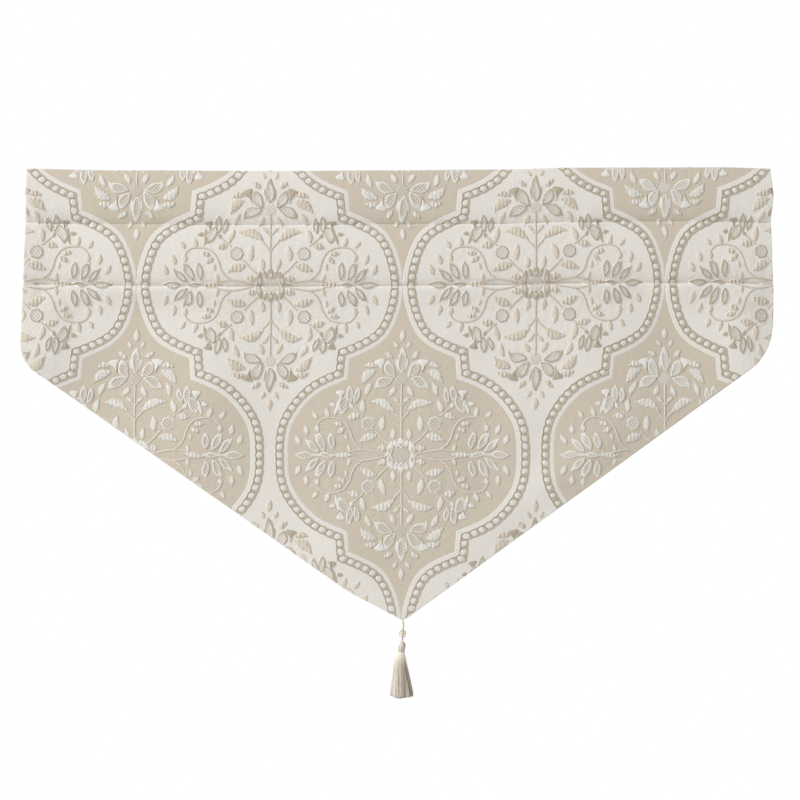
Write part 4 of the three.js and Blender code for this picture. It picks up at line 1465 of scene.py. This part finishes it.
class VALANCE_OT_lattice(bpy.types.Operator):
    """Raises the lattice band and the links of its chain"""

    bl_idname = "valance.lattice"
    bl_label = "Lattice chain"

    def execute(self, context):
        colours = context.scene.valance.colours
        line, corners = lattice_line(3.0)
        run = run_along(line)
        count = int(round(run[-1] / LINK_PITCH))
        centres = medallions(beige=False)
        band = copies(band_shape(line, corners, run, count), centres, QUARTERS)
        points, faces, attributes = join_patches([band])
        ivory, taupe = colours.ivory, colours.taupe
        material = raised_weft("lattice weft", ivory, taupe, taupe, ivory, BAND_CORD, 0.25)
        make_piece("lattice_band", points, faces, [material], attributes, merge=0.02)

        def on_line(at):
            """Places on the lattice line, and its direction there in degrees."""
            way = on_run(line, run, at + 4) - on_run(line, run, at - 4)
            return on_run(line, run, at), np.degrees(np.arctan2(way[:, 1], way[:, 0]))

        spot, turn = on_line(run[-1] * np.arange(count + 1) / count)
        gap_spot, gap_turn = on_line(run[-1] * (np.arange(count) + 0.5) / count)
        random = np.random.default_rng(SEED)
        patches = []
        for sx, sy in QUARTERS:
            # Upper and lower quarters share the links at their ends, so the lower ones leave them out.
            own = slice(0, None) if sy > 0 else slice(1, -1)
            for centre in centres:
                # The links grow smaller from the middle of the cloth to its right side, and the bars
                # longer: painted shade that darkens the chain where the key light falls off.
                small = float(ease(centre[0] + 150 * sx, 60, 440))
                long, wide = LINK_LONG - LINK_SHRINK * small, LINK_WIDE - LINK_SHRINK * small
                links = link_shapes(spot[own], turn[own], random, long, wide, 0.0)
                long = BAR_LONG + BAR_GROWTH * small
                bars = link_shapes(gap_spot, gap_turn, random, long, BAR_WIDE, 1.0)
                patches += [copies(links, [centre], [(sx, sy)]), copies(bars, [centre], [(sx, sy)])]
        points, faces, attributes = join_patches(patches)
        light = mixed(colours.white, colours.ivory, 0.5)
        material = raised_weft("chain link weft", light, taupe, light, taupe, 0.0, 0.25)
        make_piece("chain_links", points, faces, [material], attributes)
        return {"FINISHED"}


class VALANCE_OT_leaves(bpy.types.Operator):
    """Raises the leaves and stems of both grounds"""

    bl_idname = "valance.leaves"
    bl_label = "Leaves and stems"

    def execute(self, context):
        settings = context.scene.valance
        colours = settings.colours
        ivory, beige_yarn, tan, white = colours.ivory, colours.beige, colours.tan, colours.white
        # The darker rim round the leaves of the ivory ground is painted shade along their edges.
        for name, beige, ground, fill, edge in (
            ("ivory_ground_leaves", False, ivory, tan, mixed(tan, colours.taupe, 0.5)),
            ("beige_ground_leaves", True, beige_yarn, white, mixed(white, beige_yarn, 0.6)),
        ):
            height = settings.cloth.relief / MM * (LOW_RELIEF if beige else 1.0)
            centres = medallions(beige)
            patches = sprays(LEAF_SETS, centres, height, np.random.default_rng(SEED + beige))
            stem_width = 2.8 if beige else 3.4
            for paths, signs, wide, high in (
                (QUARTER_STEMS, QUARTERS, stem_width, 1.2),
                (TOP_STEMS, HALVES_UP, stem_width + 0.4, 1.3),
                (SIDE_STEMS, HALVES_SIDE, 5.0, 1.0),
            ):
                for stem in stem_shapes(paths, wide, high):
                    patches.append(copies(stem, centres, signs))
            points, faces, attributes = join_patches(patches)
            title = name.replace("_", " ")
            material = raised_weft(title, ground, edge, fill, ground, 1.2, 0.5)
            make_piece(name, points, faces, [material], attributes, merge=0.01)
        return {"FINISHED"}


class VALANCE_OT_flowers(bpy.types.Operator):
    """Raises the flowers of both grounds: outlined petals round hatched hearts"""

    bl_idname = "valance.flowers"
    bl_label = "Flowers"

    def execute(self, context):
        settings = context.scene.valance
        colours = settings.colours
        for name, beige, ground, fill, edge in (
            ("ivory_ground_flowers", False, colours.ivory, colours.ivory, colours.taupe),
            ("beige_ground_flowers", True, colours.beige, colours.taupe, colours.white),
        ):
            height = settings.cloth.relief / MM * (LOW_RELIEF if beige else 1.0)
            centres = medallions(beige)
            patches = sprays(FLOWER_SETS, centres, 1.15 * height, np.random.default_rng(SEED + 7 + beige))
            for disc, outlined, signs in (
                (HEART, False, [(1, 1)]),
                (ROUND_FLOWER, True, QUARTERS),
                (TOP_HEART, False, HALVES_UP),
            ):
                patches.append(copies(disc_shapes([disc], height, outlined), centres, signs))
            points, faces, attributes = join_patches(patches)
            title = name.replace("_", " ")
            material = raised_weft(title, ground, edge, fill, edge, 2.0, 0.65, hatched=True)
            make_piece(name, points, faces, [material], attributes, merge=0.01)
        return {"FINISHED"}


class VALANCE_OT_stitching(bpy.types.Operator):
    """Sews the two rows across the panel"""

    bl_idname = "valance.stitching"
    bl_label = "Stitching"

    def execute(self, context):
        settings = context.scene.valance
        pitch = settings.cloth.stitch / MM
        random = np.random.default_rng(SEED + 30)
        patches = []
        for row in (UPPER_ROW, LOWER_ROW):
            left, right = (float(edge) for edge in side_edges(np.array(row)))
            places = np.arange(left + 3, right - 3, pitch)
            long, wide = 0.78 * pitch - 2 * PUCKER, 1.2 - 2 * PUCKER
            stitches = [Leaf(x, 0, long, wide, 0, 0, 0, 0.5) for x in places]
            point_x, point_up, lift, inset, tint = leaf_shapes(stitches, 3.2, random, rows=5, cols=4)
            patches.append((point_x, row - point_up, lift + 0.1, inset, tint))
        points, faces, attributes = join_patches(patches, skewed=False)
        thread = settings.colours.ivory
        material = raised_weft("sewing thread", thread, thread, thread, thread, 0.0, 0.0)
        make_piece("stitch_rows", points, faces, [material], attributes, merge=0.005)
        return {"FINISHED"}


class VALANCE_OT_hanger(bpy.types.Operator):
    """Twists the cord that carries the bead and the tassel"""

    bl_idname = "valance.hanger"
    bl_label = "Hanger cord"

    def execute(self, context):
        colours = context.scene.valance.colours
        route = smooth_path(CORD_ROUTE, 0.45)
        run = np.linspace(0, np.linalg.norm(np.diff(route, axis=0), axis=1).sum(), len(route))
        turn = 2 * math.pi * run / TWIST
        paths = []
        for angle in (turn, turn + math.pi):
            paths.append(route + PLY_OFFSET * np.stack([np.cos(angle), np.sin(angle), 0 * angle], 1))
        points, faces, _, strand = tubes(paths, PLY_RADIUS, 8)
        material = silk_thread("twisted silk cord", colours.silk, colours.shadow)
        cord = make_piece("twisted_hanger", points, faces, [material], {"strand": 0.15 + 0.45 * strand})
        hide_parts("tassel_hanger")
        return {"FINISHED"}


class VALANCE_OT_bead(bpy.types.Operator):
    """Cuts the glass bead"""

    bl_idname = "valance.bead"
    bl_label = "Bead"

    def execute(self, context):
        low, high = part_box("tassel_bead")
        middle = np.array((low + high) / 2) / MM
        radius = (high.x - low.x) / 2 / MM
        half = (high.z - low.z) / 2 / MM
        # Half profile from the hole's rim outwards and down: reach from the axis, height.
        upper = [(1.6, half), (0.55 * radius, half), (0.86 * radius, 0.52 * half)]
        lower = [(reach, -height) for reach, height in reversed(upper)]
        reach, height = np.array(upper + [(radius, 0)] + lower).T[:, :, None]
        count, sides = len(reach), 10
        # Every other ring is turned by half a side, which makes the facets triangles.
        ring, side = np.meshgrid(np.arange(count), np.arange(sides), indexing="ij")
        angle = 2 * math.pi * (side + 0.5 * (ring % 2)) / sides
        rings = np.stack([reach * np.cos(angle), reach * np.sin(angle), height + 0 * angle], -1)
        points = rings.reshape(-1, 3) + middle
        below, beside = (ring + 1) % count, (side + 1) % sides
        a, b = ring * sides + side, ring * sides + beside
        c, d = below * sides + side, below * sides + beside
        turned = (ring % 2 == 1) | (below == 0)
        first = np.where(turned, [a, c, d], [a, c, b])
        second = np.where(turned, [a, d, b], [b, c, d])
        triangles = np.stack([first, second]).transpose(2, 3, 0, 1).reshape(-1, 3)
        material = cut_crystal(context.scene.valance.colours.crystal)
        bead = make_piece("cut_bead", points, triangles, [material], smooth=False)
        work = bmesh.new()
        work.from_mesh(bead.data)
        bmesh.ops.recalc_face_normals(work, faces=work.faces)
        work.to_mesh(bead.data)
        work.free()
        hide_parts("tassel_bead")
        return {"FINISHED"}


class VALANCE_OT_tassel(bpy.types.Operator):
    """Lays the tassel's threads over its head, binds the neck and lets the skirt fall"""

    bl_idname = "valance.tassel"
    bl_label = "Tassel"

    def execute(self, context):
        settings = context.scene.valance
        low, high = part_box("tassel_threads")
        bind_low, bind_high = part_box("tassel_binding")
        tassel = Tassel(
            x=(bind_low.x + bind_high.x) / 2 / MM,
            y=(bind_low.y + bind_high.y) / 2 / MM,
            top=high.z / MM,
            bottom=low.z / MM,
            neck_high=bind_high.z / MM,
            neck_low=bind_low.z / MM,
        )
        silk = silk_thread("tassel silk", settings.colours.silk, settings.colours.shadow)
        random = np.random.default_rng(SEED + 60)
        core = skirt_core(tassel, silk, random)
        skirt = skirt_threads(tassel, silk, random, settings.tassel)
        head_core, head = tassel_head(tassel, silk, random)
        over = side_threads(tassel, silk, random)

        turns = np.linspace(0, 2 * math.pi * BINDING_TURNS, 121)
        rise = np.linspace(tassel.neck_low + 0.5, tassel.neck_high - 0.5, len(turns))
        coil = round_axis(tassel, NECK_ASIDE, BINDING_RADIUS, turns, rise)
        points, faces, _, strand = tubes([coil], BINDING_THREAD, 8)
        thread = silk_thread("binding thread", settings.colours.silk, settings.colours.shadow)
        # Painted shade: the binding's thread is mixed darker than the silk, for the shade it lies in under
        # the head.
        binding = make_piece("neck_binding", points, faces, [thread], {"strand": 0.45 + 0 * strand})
        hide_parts("tassel_threads")
        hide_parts("tassel_binding")
        return {"FINISHED"}


# ---------------------------------------------------------------- sidebar and run


class VALANCE_PT_panel(bpy.types.Panel):
    bl_label = "Ascot Valance"
    bl_idname = "VALANCE_PT_panel"
    bl_space_type = "VIEW_3D"
    bl_region_type = "UI"
    bl_category = "Valance"

    def draw(self, context):
        settings = context.scene.valance
        for group in (settings.colours, settings.cloth, settings.tassel):
            box = self.layout.box()
            for key in group.__annotations__:
                box.prop(group, key)
        for step in STEPS:
            self.layout.operator(step.bl_idname)


STEPS = (
    VALANCE_OT_stage,
    VALANCE_OT_panel,
    VALANCE_OT_lattice,
    VALANCE_OT_leaves,
    VALANCE_OT_flowers,
    VALANCE_OT_stitching,
    VALANCE_OT_bead,
    VALANCE_OT_hanger,
    VALANCE_OT_tassel,
)
CLASSES = (ColourSettings, ClothSettings, TasselSettings, ValanceSettings, *STEPS, VALANCE_PT_panel)


def register():
    for item in CLASSES:
        bpy.utils.register_class(item)
    bpy.types.Scene.valance = bpy.props.PointerProperty(type=ValanceSettings)


def unregister():
    del bpy.types.Scene.valance
    for item in reversed(CLASSES):
        bpy.utils.unregister_class(item)


def main():
    register()
    for step in STEPS:
        family, action = step.bl_idname.split(".")
        getattr(getattr(bpy.ops, family), action)()


if __name__ == "__main__":
    main()
